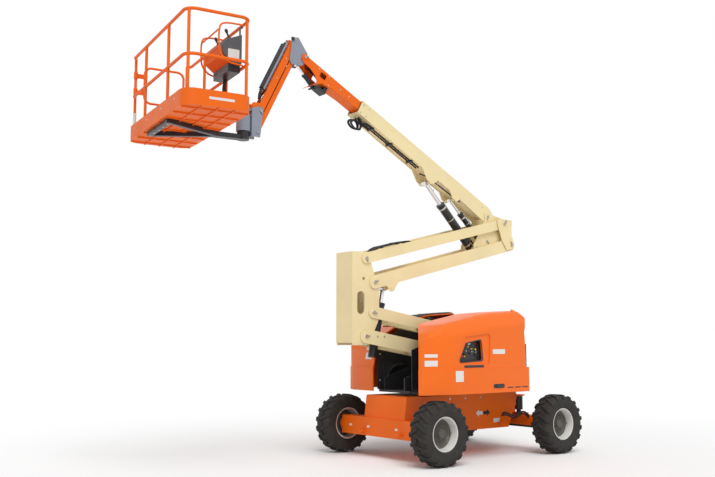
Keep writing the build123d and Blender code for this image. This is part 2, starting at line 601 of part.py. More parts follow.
# knuckle between the fly and the jib
k_in = fly_half - 10 - side_play
kn = poly(add(knuckle, (-45, 60)), add(knuckle, (-45, -40)), add(slave_tip, (-30, -32)), add(slave_tip, (40, -32)),
          add(jib_link_top, (20, -42)), add(jib_link_top, (48, 10)), add(jib_top, (52, 40)), add(jib_top, (-40, 50)))
knuckle_body = both_sides(kn, k_in - 10, k_in)
knuckle_body -= both_sides(disc(knuckle, 22 + running_gap), 0, 200)
for point, radius, y_in in ((slave_tip, 13, 27), (jib_top, 20, 41), (jib_link_top, 17, 0)):
    for side in (-1, 1):
        knuckle_body += cyl_y(point, radius, *sorted((side * y_in, side * (k_in + 2))))
knuckle_body += slab(poly(add(knuckle, (-45, 60)), add(jib_top, (-44, 52)), add(jib_top, (-44, 38)),
                          add(knuckle, (-45, 44))), -k_in, k_in)
nodes["knuckle"] = knuckle_body


# ---------------------------------------------------------------- jib
def jib_bar(depth, web_side, outer):
    """A channel with its web away from the cylinder."""
    side = bar(jib_length, depth)
    solid = both_sides(side, outer - jib_plate, outer)
    w0, w1 = sorted((web_side * (depth / 2 - 8), web_side * depth / 2))
    solid += slab(poly((110, w0), (jib_length - 330, w0), (jib_length - 330, w1), (110, w1)), -outer, outer)
    return solid


upper_bar = jib_bar(jib_arm_depth, 1, jib_outer)
upper_bar -= cyl_y((0, 0), 20 + running_gap, -200, 200) + cyl_y((jib_length, 0), 20 + running_gap, -200, 200)
nodes["jib_arm"] = jib_place * upper_bar
lower_bar = jib_bar(jib_link_depth, -1, jib_outer)
lower_bar -= cyl_y((0, 0), 17 + running_gap, -200, 200) + cyl_y((jib_length, 0), 17 + running_gap, -200, 200)
nodes["jib_link"] = frame_at(jib_link_top, jib_angle) * lower_bar

end_in = jib_outer + side_play
je = poly(add(jib_bottom, (-40, 45)), add(jib_bottom, (60, 45)), (rotator_x - 80, jib_bottom[1] + 20),
          (rotator_x - 80, jib_link_bottom[1] - 60), add(jib_link_bottom, (-40, -60)), add(jib_link_bottom, (-50, 20)))
jib_end = both_sides(je, end_in, end_in + 12)
jib_end += box(rotator_x - 92, rotator_x - 80, -end_in - 12, end_in + 12, jib_link_bottom[1] - 60, jib_bottom[1] + 20)
for point, radius, y_in in ((jib_bottom, 20, 34), (jib_link_bottom, 17, 34)):
    for side in (-1, 1):
        jib_end += cyl_y(point, radius, *sorted((side * y_in, side * (end_in + 16))))
rot_low = platform_floor + 20
rot_high = rot_low + 240
jib_end += cyl_z(rotator_x, 0, 90, rot_low + 30, rot_high)
nodes["jib_end"] = jib_end

# ---------------------------------------------------------------- platform
p_near = platform_reach - platform_width / 2
p_far = platform_reach + platform_width / 2
p_half = platform_length / 2
support_z = platform_floor - 60.3
support_tube = 56.0


def beam_between(a, b, z, width, height):
    """A square tube lying flat between two points in X and Y."""
    length = hypot(b[0] - a[0], b[1] - a[1])
    turn = degrees(atan2(b[1] - a[1], b[0] - a[0]))
    return Pos(a[0], a[1], z) * Rot(0, 0, turn) * Pos(length / 2, 0, height / 2) * Box(length, width, height)


support = cyl_z(0, 0, 78, support_z, rot_low + 29.5)
support += beam_between((0, 0), (p_near + 90, 0), support_z, 110, 60)
cross_x = p_far - 75
for side in (-1, 1):
    support += beam_between((p_near + 60, side * 30), (cross_x, side * 370), support_z + 2, support_tube, support_tube)
support += beam_between((cross_x, -400), (cross_x, 400), support_z + 1, 58, 58)
nodes["platform_support"] = platform_place * support

plan = Pos(platform_reach, 0) * RectangleRounded(platform_width, platform_length, platform_corner)
plan_in = Pos(platform_reach, 0) * RectangleRounded(platform_width - 12, platform_length - 12, platform_corner - 6)
floor = extrude(Pos(0, 0, platform_floor) * plan, amount=floor_thick)
skirt = extrude(Pos(0, 0, platform_floor + floor_thick) * (plan - plan_in), amount=skirt_height)
nodes["platform_floor"] = platform_place * (floor + skirt)

# rails: two rings at the height of a hand and of a knee, open at the far end for the gate
inset = rail_tube + 9
x0, x1 = p_near + inset, p_far - inset
y0, y1 = -p_half + inset, p_half - inset
bend = platform_corner - inset
z_low = platform_floor + floor_thick
z_top = platform_floor + rail_height
z_mid = platform_floor + 0.53 * rail_height
corner = bend * (1 - cos(radians(45)))
gate_post = 0.0
rails = None
for z in (z_top, z_mid):
    ring = tube_path([(x0 + corner, y0 + corner, z), (x0, y0 + bend, z), (x0, y1, z), (x1, y1, z),
                      (x1, y0 + bend, z), (x1 - corner, y0 + corner, z)], rail_tube, [bend / 3, bend, bend, bend / 3])
    rails = ring if rails is None else rails + ring
posts = ((x1 - corner, y0 + corner), (x1, y0 + 640), (x1, y1 - 640), (x1 - corner, y1 - corner),
         (x0 + corner, y1 - corner), (x0, y1 - 760), (x0, y0 + 640), (x0 + corner, y0 + corner))
for x, y in posts:
    rails += cyl_z(x, y, rail_tube - 1, z_low + 0.3, z_top + (rail_tube if y < y0 + bend else 0))
nodes["platform_rails"] = platform_place * rails

# the gate is a loop of tube between the two end posts, hung by two sleeves on the front one
gate_tube = 15.0
gate_y = y0 + corner
gate_x0, gate_x1 = x0 + corner + rail_tube + 22, x1 - corner - bend
gate_high, gate_low = z_top - 80, z_top - 560
hinge = (x1 - corner, gate_y)
gate_plane = gate_y - 9
gate = tube_path([(gate_x1, gate_plane, gate_high), (gate_x0, gate_plane, gate_high), (gate_x0, gate_plane, gate_low),
                  (gate_x1, gate_plane, gate_low)], gate_tube, 90, close=True)
for z in (gate_high - 130, gate_low + 130):
    sleeve = cyl_z(hinge[0], hinge[1], rail_tube + 7, z - 45, z + 45)
    sleeve += box(gate_x1 - 5, hinge[0], gate_plane - 6, gate_plane + 6, z - 30, z + 30)
    gate += sleeve - cyl_z(hinge[0], hinge[1], rail_tube - 1 + running_gap, z - 60, z + 60)
nodes["platform_gate"] = platform_place * gate

# control console, hung on the rear rail near the left end
con_y0, con_y1 = y1 - 800, y1 - 190
con_x = x0 + rail_tube + 4
side_view = poly((con_x, z_mid - 60), (con_x + 170, z_mid - 60), (con_x + 250, z_mid + 120),
                 (con_x + 240, z_mid + 230), (con_x, z_mid + 400))
console = Pos(0, 0, 0) * slab(side_view, con_y0, con_y1)
for y in (con_y0 + 80, con_y1 - 80):
    console += box(con_x - 1, con_x + 8, y - 20, y + 20, z_mid + 250, z_top - rail_tube - 12)
    console += box(x0 - 3, con_x + 8, y - 20, y + 20, z_top - rail_tube - 14, z_top - rail_tube - 0.3)
nodes["control_console"] = platform_place * console
nodes["foot_switch"] = platform_place * box(x0 + 220, x0 + 380, 120, 320, z_low + 0.3, z_low + 95)

# ---------------------------------------------------------------- write
os.makedirs("parts", exist_ok=True)
for name, shape in nodes.items():
    if isinstance(shape, (list, ShapeList)):
        shape = Compound(children=list(shape))
    shape.label = name
    export_step(shape, "parts/" + name + ".step")
print(len(nodes), "parts")
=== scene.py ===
# %% [markdown]
# # Dressing an articulating boom lift
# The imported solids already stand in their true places, in metres: +X is the way the boom reaches,
# +Y is the machine's left and +Z is up. This lesson lights them, paints them, and adds what a solid
# model leaves out: tread, bolts, hoses, latches, lamps and the wear of a working machine.

# %% Load the solids
import bpy, bmesh, json, math
from mathutils import Matrix, Vector


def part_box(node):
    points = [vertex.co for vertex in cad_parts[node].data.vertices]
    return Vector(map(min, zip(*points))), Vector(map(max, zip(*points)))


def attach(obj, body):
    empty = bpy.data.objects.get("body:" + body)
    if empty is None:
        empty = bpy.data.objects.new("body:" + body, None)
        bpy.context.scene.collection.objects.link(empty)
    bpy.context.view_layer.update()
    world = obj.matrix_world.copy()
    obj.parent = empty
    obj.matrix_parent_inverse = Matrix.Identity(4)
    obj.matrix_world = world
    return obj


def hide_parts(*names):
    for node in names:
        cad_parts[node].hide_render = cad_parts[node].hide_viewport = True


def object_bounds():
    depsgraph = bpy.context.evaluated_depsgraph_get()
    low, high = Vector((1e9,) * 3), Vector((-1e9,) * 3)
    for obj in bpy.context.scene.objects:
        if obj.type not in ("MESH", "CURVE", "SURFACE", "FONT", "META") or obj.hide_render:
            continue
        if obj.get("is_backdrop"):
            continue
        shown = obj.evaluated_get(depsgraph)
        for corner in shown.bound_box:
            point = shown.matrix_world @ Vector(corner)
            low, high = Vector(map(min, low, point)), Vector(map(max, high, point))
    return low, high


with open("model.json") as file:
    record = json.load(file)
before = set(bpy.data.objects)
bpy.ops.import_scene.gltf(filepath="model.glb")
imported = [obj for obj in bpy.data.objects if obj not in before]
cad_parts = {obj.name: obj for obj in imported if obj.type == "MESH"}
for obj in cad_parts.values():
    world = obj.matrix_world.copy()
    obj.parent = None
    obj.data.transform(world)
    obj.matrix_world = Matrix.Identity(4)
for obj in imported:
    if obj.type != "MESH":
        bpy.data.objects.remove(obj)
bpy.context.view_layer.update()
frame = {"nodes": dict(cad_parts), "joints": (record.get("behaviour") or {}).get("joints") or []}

# %% [markdown]
# ## Camera
# A long way off and near the ground, looking slightly up, so that the boom seems tall. A camera
# looks along its own -Z, so its turn is made from the direction it looks in.

# %% Camera
EYE = Vector((9.122, 9.478, 1.609))
LOOK_YAW, LOOK_PITCH = math.radians(231.94), math.radians(6.60)
look = Vector((math.cos(LOOK_PITCH) * math.cos(LOOK_YAW), math.cos(LOOK_PITCH) * math.sin(LOOK_YAW),
               math.sin(LOOK_PITCH)))
camera = bpy.data.objects.new("camera", bpy.data.cameras.new("camera"))
camera.data.lens, camera.data.sensor_width = 44.44, 36.0
camera.data.clip_end = 200.0
camera.location = EYE
camera.rotation_euler = look.to_track_quat("-Z", "Y").to_euler()
bpy.context.scene.collection.objects.link(camera)
bpy.context.scene.camera = camera
bpy.context.scene.view_settings.view_transform = "Standard"
print("camera", [round(v, 2) for v in EYE])

# %% [markdown]
# ## Shader maths
# Mixing paint out of nodes by hand takes many lines. One function adds any node: its settings
# first, then what goes into its sockets. One small class wraps a node's output, and Python's own
# operators then add the Math nodes, so that `1 - mask * 0.5` reads as it works.

# %% Sockets that add up
def plug(tree, slot, value):
    """Links a socket, or sets its plain value."""
    if isinstance(value, Sock):
        tree.links.new(value.link, slot)
    elif slot.type == "RGBA" and len(value) == 3:
        slot.default_value = (*value, 1.0)
    else:
        slot.default_value = value


def add_node(tree, kind, out=0, settings=(), inputs=(), **sockets):
    """Adds a node; inputs go by number, because some nodes use one name for several sockets."""
    node = tree.nodes.new(kind)
    for name, value in dict(settings).items():
        setattr(node, name, value)
    for slot, value in enumerate(inputs):
        if value is not None:
            plug(tree, node.inputs[slot], value)
    for name, value in sockets.items():
        plug(tree, node.inputs[name], value)
    return Sock(tree, node.outputs[out])


class Sock:
    """A node's output that can be added, multiplied and so on."""
    def __init__(self, tree, link):
        self.tree, self.link = tree, link

    def _maths(self, operation, *values):
        return add_node(self.tree, "ShaderNodeMath", settings={"operation": operation}, inputs=values)

    def __add__(self, other): return self._maths("ADD", self, other)
    def __radd__(self, other): return self._maths("ADD", other, self)
    def __sub__(self, other): return self._maths("SUBTRACT", self, other)
    def __rsub__(self, other): return self._maths("SUBTRACT", other, self)
    def __mul__(self, other): return self._maths("MULTIPLY", self, other)
    def __rmul__(self, other): return self._maths("MULTIPLY", other, self)
    def __pow__(self, other): return self._maths("POWER", self, other)
    def __rpow__(self, other): return self._maths("POWER", other, self)

    def between(self, low, high):
        """0 below low, 1 above high, and a smooth ramp in between."""
        return add_node(self.tree, "ShaderNodeMapRange", settings={"interpolation_type": "SMOOTHSTEP"},
                        inputs=(self, low, high, 0.0, 1.0))


print("socket maths ready")

# %% [markdown]
# A finish starts from Blender's own Principled shader. Textures could follow the world, but then the
# grain would slide over a boom that moves. The pieces stay at the origin and turn with their joints,
# so the object's own coordinates are right at rest and stay right in every pose.

# %% One finish
class Finish:
    """A named material with its Principled shader, ready for more nodes."""
    def __init__(self, name, colour, rough, metal=0.0, coat=0.0):
        self.made = bpy.data.materials.new(name)
        self.made.use_nodes = True
        self.made.diffuse_color = (*colour, 1.0)
        self.tree = self.made.node_tree
        self.shader = self.tree.nodes["Principled BSDF"]
        self.set(**{"Base Color": colour, "Roughness": rough, "Metallic": metal, "Coat Weight": coat,
                    "Coat Roughness": 0.12, "Specular IOR Level": 0.28})
        self.place = self.node("ShaderNodeTexCoord", out="Object")

    def set(self, **values):
        for name, value in values.items():
            plug(self.tree, self.shader.inputs[name], value)
        return self

    def node(self, kind, **how):
        return add_node(self.tree, kind, **how)

    def noise(self, scale, detail=3.0, rough=0.55):
        return self.node("ShaderNodeTexNoise", Vector=self.place, Scale=scale, Detail=detail, Roughness=rough)

    def mix(self, factor, first, second):
        """Two colours mixed; the colour sockets are the Mix node's numbers 6 and 7."""
        return self.node("ShaderNodeMix", out=2, settings={"data_type": "RGBA"},
                         inputs=(factor, None, None, None, None, None, first, second))

    def axes(self):
        """The place split into its three numbers."""
        split = self.node("ShaderNodeSeparateXYZ", Vector=self.place).link.node
        return [Sock(self.tree, out) for out in split.outputs]

    def bump(self, height, strength, depth=0.001):
        """Small relief that the light catches."""
        return self.set(Normal=self.node("ShaderNodeBump", Height=height, Strength=strength, Distance=depth))


print("finish class ready")

# %% [markdown]
# ## Floor and light
# The floor is plain and pale. It fades to pure white further out, so no horizon shows; a mix with a
# glowing shader does it, and only for what the camera sees, so the glow lights nothing.

# %% Floor
FLOOR_HALF, FADE_FROM, FADE_TO = 60.0, 3.2, 9.0

mesh = bpy.data.meshes.new("floor")
s = FLOOR_HALF
mesh.from_pydata([(-s, -s, 0), (s, -s, 0), (s, s, 0), (-s, s, 0)], [], [(0, 1, 2, 3)])
floor = bpy.data.objects.new("floor", mesh)
bpy.context.scene.collection.objects.link(floor)
paint = Finish("studio_floor", (0.93, 0.93, 0.93), 0.9)
x, y, _ = paint.axes()
far = ((x * x + y * y) ** 0.5).between(FADE_FROM, FADE_TO)
glow = paint.node("ShaderNodeEmission", Color=(1.0, 1.0, 1.0), Strength=1.0)
seen = paint.node("ShaderNodeLightPath", out="Is Camera Ray")
blend = paint.node("ShaderNodeMixShader", inputs=(far * seen, Sock(paint.tree, paint.shader.outputs[0]), glow))
plug(paint.tree, paint.tree.nodes["Material Output"].inputs[0], blend)
mesh.materials.append(paint.made)
floor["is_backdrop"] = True
print("floor", FLOOR_HALF * 2, "m across")

# %% [markdown]
# Soft light comes from a wide sun and from the whole sky. The sky is white to the camera and in
# reflections, but it lights the machine more weakly, or pale paint would burn out.

# %% Light
SUN_STRENGTH, SUN_WIDTH, SKY_STRENGTH = 1.9, math.radians(38), 0.52
SUN_TOWARDS = Vector((-0.30, -0.62, -0.95))

sun = bpy.data.objects.new("sun", bpy.data.lights.new("sun", "SUN"))
sun.data.energy, sun.data.angle = SUN_STRENGTH, SUN_WIDTH
sun.rotation_euler = SUN_TOWARDS.to_track_quat("-Z", "Y").to_euler()
bpy.context.scene.collection.objects.link(sun)
world = bpy.data.worlds.new("sky")
bpy.context.scene.world = world
world.use_nodes = True
tree = world.node_tree
back = tree.nodes["Background"]
back.inputs["Color"].default_value = (1.0, 1.0, 1.0, 1.0)
seen = add_node(tree, "ShaderNodeLightPath", out="Is Camera Ray")
seen = seen + Sock(tree, seen.link.node.outputs["Is Glossy Ray"])
plug(tree, back.inputs["Strength"], seen.between(0.0, 0.5) * (1.0 - SKY_STRENGTH) + SKY_STRENGTH)
print("sun", SUN_STRENGTH, "sky", SKY_STRENGTH)

# %% [markdown]
# ## Finishes
# Every metal part of the real machine is sprayed, so one recipe makes the paints: a colour that
# wanders a little, the fine dimples of sprayed paint, and dust that gathers low down. Images would
# need every solid unwrapped; noise needs only a place, so it fits solids and pieces alike.

# %% Sprayed paint
DUST = (0.42, 0.36, 0.28)


def sprayed(name, colour, rough=0.36, coat=0.25, dusty=0.25, dust_to=0.9):
    """Satin paint on steel."""
    paint = Finish(name, colour, rough, coat=coat)
    _, _, z = paint.axes()
    drift = paint.noise(1.7, 2.0).between(0.35, 0.68)
    shade = paint.mix(drift * 0.35, colour, [c * 0.82 for c in colour])
    grime = paint.noise(9.0, 5.0, 0.7).between(0.52, 0.78)
    low = 1.0 - z.between(0.25, dust_to)
    speck = paint.noise(46.0, 3.0, 0.6).between(0.62, 0.72)
    shade = paint.mix((grime * 0.10 + low * grime * dusty).between(0.0, 1.0) * 0.85, shade, DUST)
    shade = paint.mix(speck * 0.10, shade, [c * 0.45 for c in colour])
    paint.set(**{"Base Color": shade, "Roughness": grime * 0.18 + drift * 0.06 + rough})
    peel = paint.noise(420.0, 1.0, 0.4)
    return paint.bump(peel * 0.5 + drift * 0.6, 0.12, 0.0006).made


ORANGE = (0.86, 0.140, 0.003)
CREAM = (0.86, 0.72, 0.41)
orange = sprayed("orange_paint", ORANGE, rough=0.44, coat=0.0)
cream = sprayed("cream_paint", CREAM, rough=0.44, coat=0.0, dusty=0.15)
grey = sprayed("grey_paint", (0.26, 0.29, 0.35), rough=0.42)
black = sprayed("black_paint", (0.022, 0.022, 0.025), rough=0.42)
# The hub finish is dark paint and dust, and partly painted shade: the deep wheel dish is coloured darker than its
# paint.
hub_dark_and_painted_shade = sprayed("hub_paint", (0.105, 0.098, 0.085), rough=0.6, coat=0.0, dusty=0.8, dust_to=0.6)
rim_white = sprayed("rim_paint", (0.66, 0.65, 0.62), rough=0.45, dusty=0.6, dust_to=0.5)
print("sprayed paints: 6")

# %% [markdown]
# The covers are moulded plastic, coloured right through. They could share the paint's recipe, but
# its dimples and specks belong to steel, so they get slow, broad waves and more gloss instead.

# %% Moulded covers
def moulded(name, colour, rough=0.27, coat=0.6):
    """Gloss moulded plastic."""
    paint = Finish(name, colour, rough, coat=coat)
    drift = paint.noise(1.1, 2.0).between(0.3, 0.7)
    swirl = paint.noise(130.0, 2.0).between(0.45, 0.75)
    paint.set(**{"Base Color": paint.mix(drift * 0.25, colour, [c * 0.86 for c in colour]),
                 "Roughness": swirl * 0.07 + drift * 0.05 + rough})
    return paint.bump(drift + swirl * 0.15, 0.10, 0.0015).made


hood_orange = moulded("hood_plastic", (0.88, 0.150, 0.002), 0.34, 0.2)
print("moulded covers ready")

# %% [markdown]
# Tyres hold dried dust in broken patches, and hoses are cleaner and darker. An image of rubber
# would repeat round a tyre and noise never does; two levels of dust make both from one recipe.

# %% Rubber
def rubber(name, colour=(0.030, 0.028, 0.026), dusty=0.5, rough=0.78):
    paint = Finish(name, colour, rough)
    dust = paint.noise(7.0, 5.0, 0.7).between(0.42, 0.78)
    fine = paint.noise(160.0, 3.0, 0.6)
    shade = paint.mix(dust * dusty * 0.30, colour, (0.16, 0.135, 0.105))
    paint.set(**{"Base Color": shade, "Roughness": dust * 0.12 + rough})
    return paint.bump(fine, 0.25, 0.001).made


tyre_rubber = rubber("tyre_rubber")
hose_rubber = rubber("hose_rubber", (0.018, 0.018, 0.019), dusty=0.2, rough=0.5)
print("rubbers ready")

# %% [markdown]
# Rods are chromed and bolts are zinc-plated: both are bare metal with fine streaks in the gloss, and
# differ in colour and roughness alone. The counterweight is a rough casting. Displacement could
# carry its grain, but a bump costs far less and looks the same from a step away.

# %% Bare and cast metal
def bare(name, colour, rough, scratch=0.12):
    paint = Finish(name, colour, rough, metal=1.0)
    streak = paint.noise(220.0, 2.0).between(0.35, 0.75)
    paint.set(Roughness=streak * scratch + rough)
    return paint.bump(streak, 0.06, 0.0005).made


def cast(name, colour, rough=0.72):
    paint = Finish(name, colour, rough)
    grain = paint.noise(85.0, 4.0, 0.65)
    patch = paint.noise(5.0, 3.0).between(0.4, 0.7)
    paint.set(**{"Base Color": paint.mix(patch * 0.4, colour, [c * 1.7 for c in colour]),
                 "Roughness": patch * 0.1 + rough})
    return paint.bump(grain, 0.35, 0.002).made


chrome = bare("rod_chrome", (0.78, 0.79, 0.80), 0.10, 0.08)
zinc = bare("zinc", (0.62, 0.60, 0.55), 0.34)
engine_metal = bare("engine_metal", (0.30, 0.30, 0.31), 0.45)
iron = cast("cast_weight", (0.030, 0.030, 0.032))
print("metals ready")

# %% [markdown]
# Tanks and console are grained plastic. Noise would make soft lumps, so small Voronoi cells make
# the grain; handled spots are a little paler and duller.

# %% Black plastics
def grained(name, colour, rough=0.55):
    paint = Finish(name, colour, rough)
    cells = paint.node("ShaderNodeTexVoronoi", out="Distance", Vector=paint.place, Scale=650.0)
    scuff = paint.noise(14.0, 4.0, 0.7).between(0.55, 0.8)
    paint.set(**{"Base Color": paint.mix(scuff * 0.25, colour, [c * 2.2 + 0.01 for c in colour]),
                 "Roughness": scuff * 0.15 + rough})
    return paint.bump(cells, 0.3, 0.0004).made


tank_plastic = grained("tank_plastic", (0.020, 0.020, 0.021))
console_plastic = grained("console_plastic", (0.10, 0.105, 0.115), 0.5)
print("plastics ready")

# %% [markdown]
# ## Painting the solids
# A solid keeps its mesh and only takes a finish. The table follows the real paint scheme: orange
# running gear, covers, fly section, jib and platform; cream tower and boom; black for what hides.

# %% Paint scheme
def nodes_named(start):
    return tuple(name for name in frame["nodes"] if name.startswith(start))


SCHEME = (
    (orange, ("chassis_frame", "rear_axle", "axle_hanger", "boom_fly", "jib_arm", "jib_link", "platform_rails",
              "platform_gate", "platform_floor")),
    (cream, ("lower_arm", "lower_link", "upright", "upper_arm", "upper_link", "end_bracket", "boom_base")),
    (grey, ("knuckle", "jib_end")),
    (black, ("turntable_frame", "slew_ring", "lockout_cylinders", "knuckle_left", "knuckle_right", "tie_rod",
             "tower_barrel", "lift_barrel", "level_barrel", "slave_barrel", "jib_barrel", "platform_support",
             "foot_switch")),
    (hood_orange, ("hood_left", "hood_right")),
    (iron, ("counterweight",)),
    (engine_metal, ("engine_block",)),
    (tank_plastic, ("hydraulic_tank", "fuel_tank", "ground_control")),
    (console_plastic, ("control_console",)),
    (chrome, ("lift_rod", "level_rod", "tower_rod", "slave_rod", "jib_rod")),
    (rim_white, nodes_named("rim_")),
    (tyre_rubber, nodes_named("tyre_")),
)

left = set(frame["nodes"])
for finish, names in SCHEME:
    for name in names:
        solid = frame["nodes"][name]
        solid.data.materials.clear()
        solid.data.materials.append(finish)
        left.discard(name)
print("painted", len(frame["nodes"]) - len(left), "solids; left over:", sorted(left))

# %% [markdown]
# ## Tools for small pieces
# A piece could be built by hand in edit mode, but a machine repeats itself: the same bolt, the same
# hose, the same plate on both sides. So each shape is a short call, given in a `place`: a matrix
# that says where its own axes stand. On a tilted boom the numbers then stay those of a level boom.

# %% Places
JOINTS = {j["name"]: Vector(j["pos_m"]) for j in frame["joints"] if j.get("pos_m")}
HOME = Matrix.Identity(4)
LEFT_RIGHT = (1, -1)


def at(point, towards=(0, 0, 1), spin=0.0):
    """A place at a point whose own Z looks along a direction."""
    turn = Vector(towards).to_track_quat("Z", "Y").to_matrix().to_4x4()
    return Matrix.Translation(Vector(point)) @ turn @ Matrix.Rotation(math.radians(spin), 4, "Z")


def tilted(origin, degrees):
    """A place whose X leans up by some degrees, with Y to the machine's left."""
    return Matrix.Translation(Vector(origin)) @ Matrix.Rotation(math.radians(-degrees), 4, "Y")


def yawed(origin, degrees):
    """A place whose X turns to the left by some degrees."""
    return Matrix.Translation(Vector(origin)) @ Matrix.Rotation(math.radians(degrees), 4, "Z")


def framed(origin, *axes):
    """A place from its origin and the ways its own X, Y and Z point."""
    return Matrix((*zip(*axes, origin), (0, 0, 0, 1)))


def box_of(node):
    return [Vector(corner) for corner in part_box(node)]


print("joints with a place:", len(JOINTS))

# %% [markdown]
# Outlines repeat too. Round corners matter most: real sheet, castings and mouldings have no knife
# edges, and a rounded edge is what catches the light.

# %% Outlines and profiles
def both(inner, outer):
    """The same stretch of Y on the left side and, mirrored, on the right."""
    return (inner, outer), (-outer, -inner)


def ring(count, radius, start=0.0):
    """Evenly spaced points round a circle; start is the first one's angle in degrees."""
    turns = [math.radians(i * 360 / count + start) for i in range(count)]
    return [(radius * math.cos(a), radius * math.sin(a)) for a in turns]


def disc(radius, low, high):
    """A profile for a plain round plate or rod."""
    return [(0.0, low), (radius, low), (radius, high), (0.0, high)]


def cap(radius, straight, top, height):
    """A profile for a cap or button: straight sides, then a cone up to a flat top."""
    return [(0.0, 0.0), (radius, 0.0), (radius, straight), (top, height), (0.0, height)]


def band(inner, outer, low, high):
    """A profile for a short tube."""
    return [(inner, low), (outer, low), (outer, high), (inner, high), (inner, low)]


def round_corners(points, radius, steps=5):
    """An outline with each corner turned into a small curve."""
    out = []
    for i, p in enumerate(points):
        p, a, b = Vector(p), Vector(points[i - 1]), Vector(points[(i + 1) % len(points)])
        to_a, to_b = (a - p), (b - p)
        reach = min(radius, to_a.length * 0.45, to_b.length * 0.45)
        p0, p1 = p + to_a.normalized() * reach, p + to_b.normalized() * reach
        for k in range(steps + 1):
            t = k / steps
            out.append(tuple(p0 * (1 - t) ** 2 + p * 2 * t * (1 - t) + p1 * t ** 2))
    return out


def oblong(x0, x1, y0, y1, radius):
    return round_corners([(x0, y0), (x1, y0), (x1, y1), (x0, y1)], radius)


def curve_point(four, t):
    """A point of a smooth curve between the two middle ones of four."""
    a, b, c, d = four
    return (b * 2 + (c - a) * t + (a * 2 - b * 5 + c * 4 - d) * t ** 2 + (b * 3 - a - c * 3 + d) * t ** 3) / 2


print("outlines ready")

# %% [markdown]
# Every mesh ends the same way: smooth faces with sharp creases, its finish, and a small bevel that
# rounds the creases without adding work to the mesh. Then it is hung on the body that carries it,
# and the solid it stands for is hidden.

# %% Showing a mesh
SLOTS = {"hub_paint": "black_paint", "zinc": "rod_chrome", "hose_rubber": "tyre_rubber"}
PIECES = []


def show(name, mesh, finish, body, edge, replaces=(), crease=32, segments=2, limit=40):
    """Makes a mesh one of the machine's pieces; crease and limit are angles in degrees."""
    for face in mesh.polygons:
        face.use_smooth = True
    mesh.set_sharp_from_angle(angle=math.radians(crease))
    mesh.materials.clear()
    mesh.materials.append(finish)
    made = bpy.data.objects.new(name, mesh)
    bpy.context.scene.collection.objects.link(made)
    if edge:
        soften = made.modifiers.new("edge", "BEVEL")
        soften.width, soften.segments, soften.limit_method = edge, segments, "ANGLE"
        soften.angle_limit = math.radians(limit)
    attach(made, body)
    if replaces:
        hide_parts(*replaces)
    slot = finish.name.split(".")[0]
    slot = SLOTS.get(slot, slot)
    PIECES.append(made)
    return made


def mesh_of(name, verts, faces, join=0.0):
    """A mesh from points and faces, with its normals outwards."""
    mesh = bpy.data.meshes.new(name)
    mesh.from_pydata([tuple(v) for v in verts], [], faces)
    if join:
        mesh.validate()
    work = bmesh.new()
    work.from_mesh(mesh)
    if join:
        bmesh.ops.remove_doubles(work, verts=work.verts, dist=join)
    bmesh.ops.recalc_face_normals(work, faces=work.faces)
    work.to_mesh(mesh)
    work.free()
    return mesh


# %% [markdown]
# A `Piece` gathers prisms, turned parts, pipes and bolts of one finish into a single mesh. One mesh
# for forty bolts keeps the scene light, and it rides with its body as one.

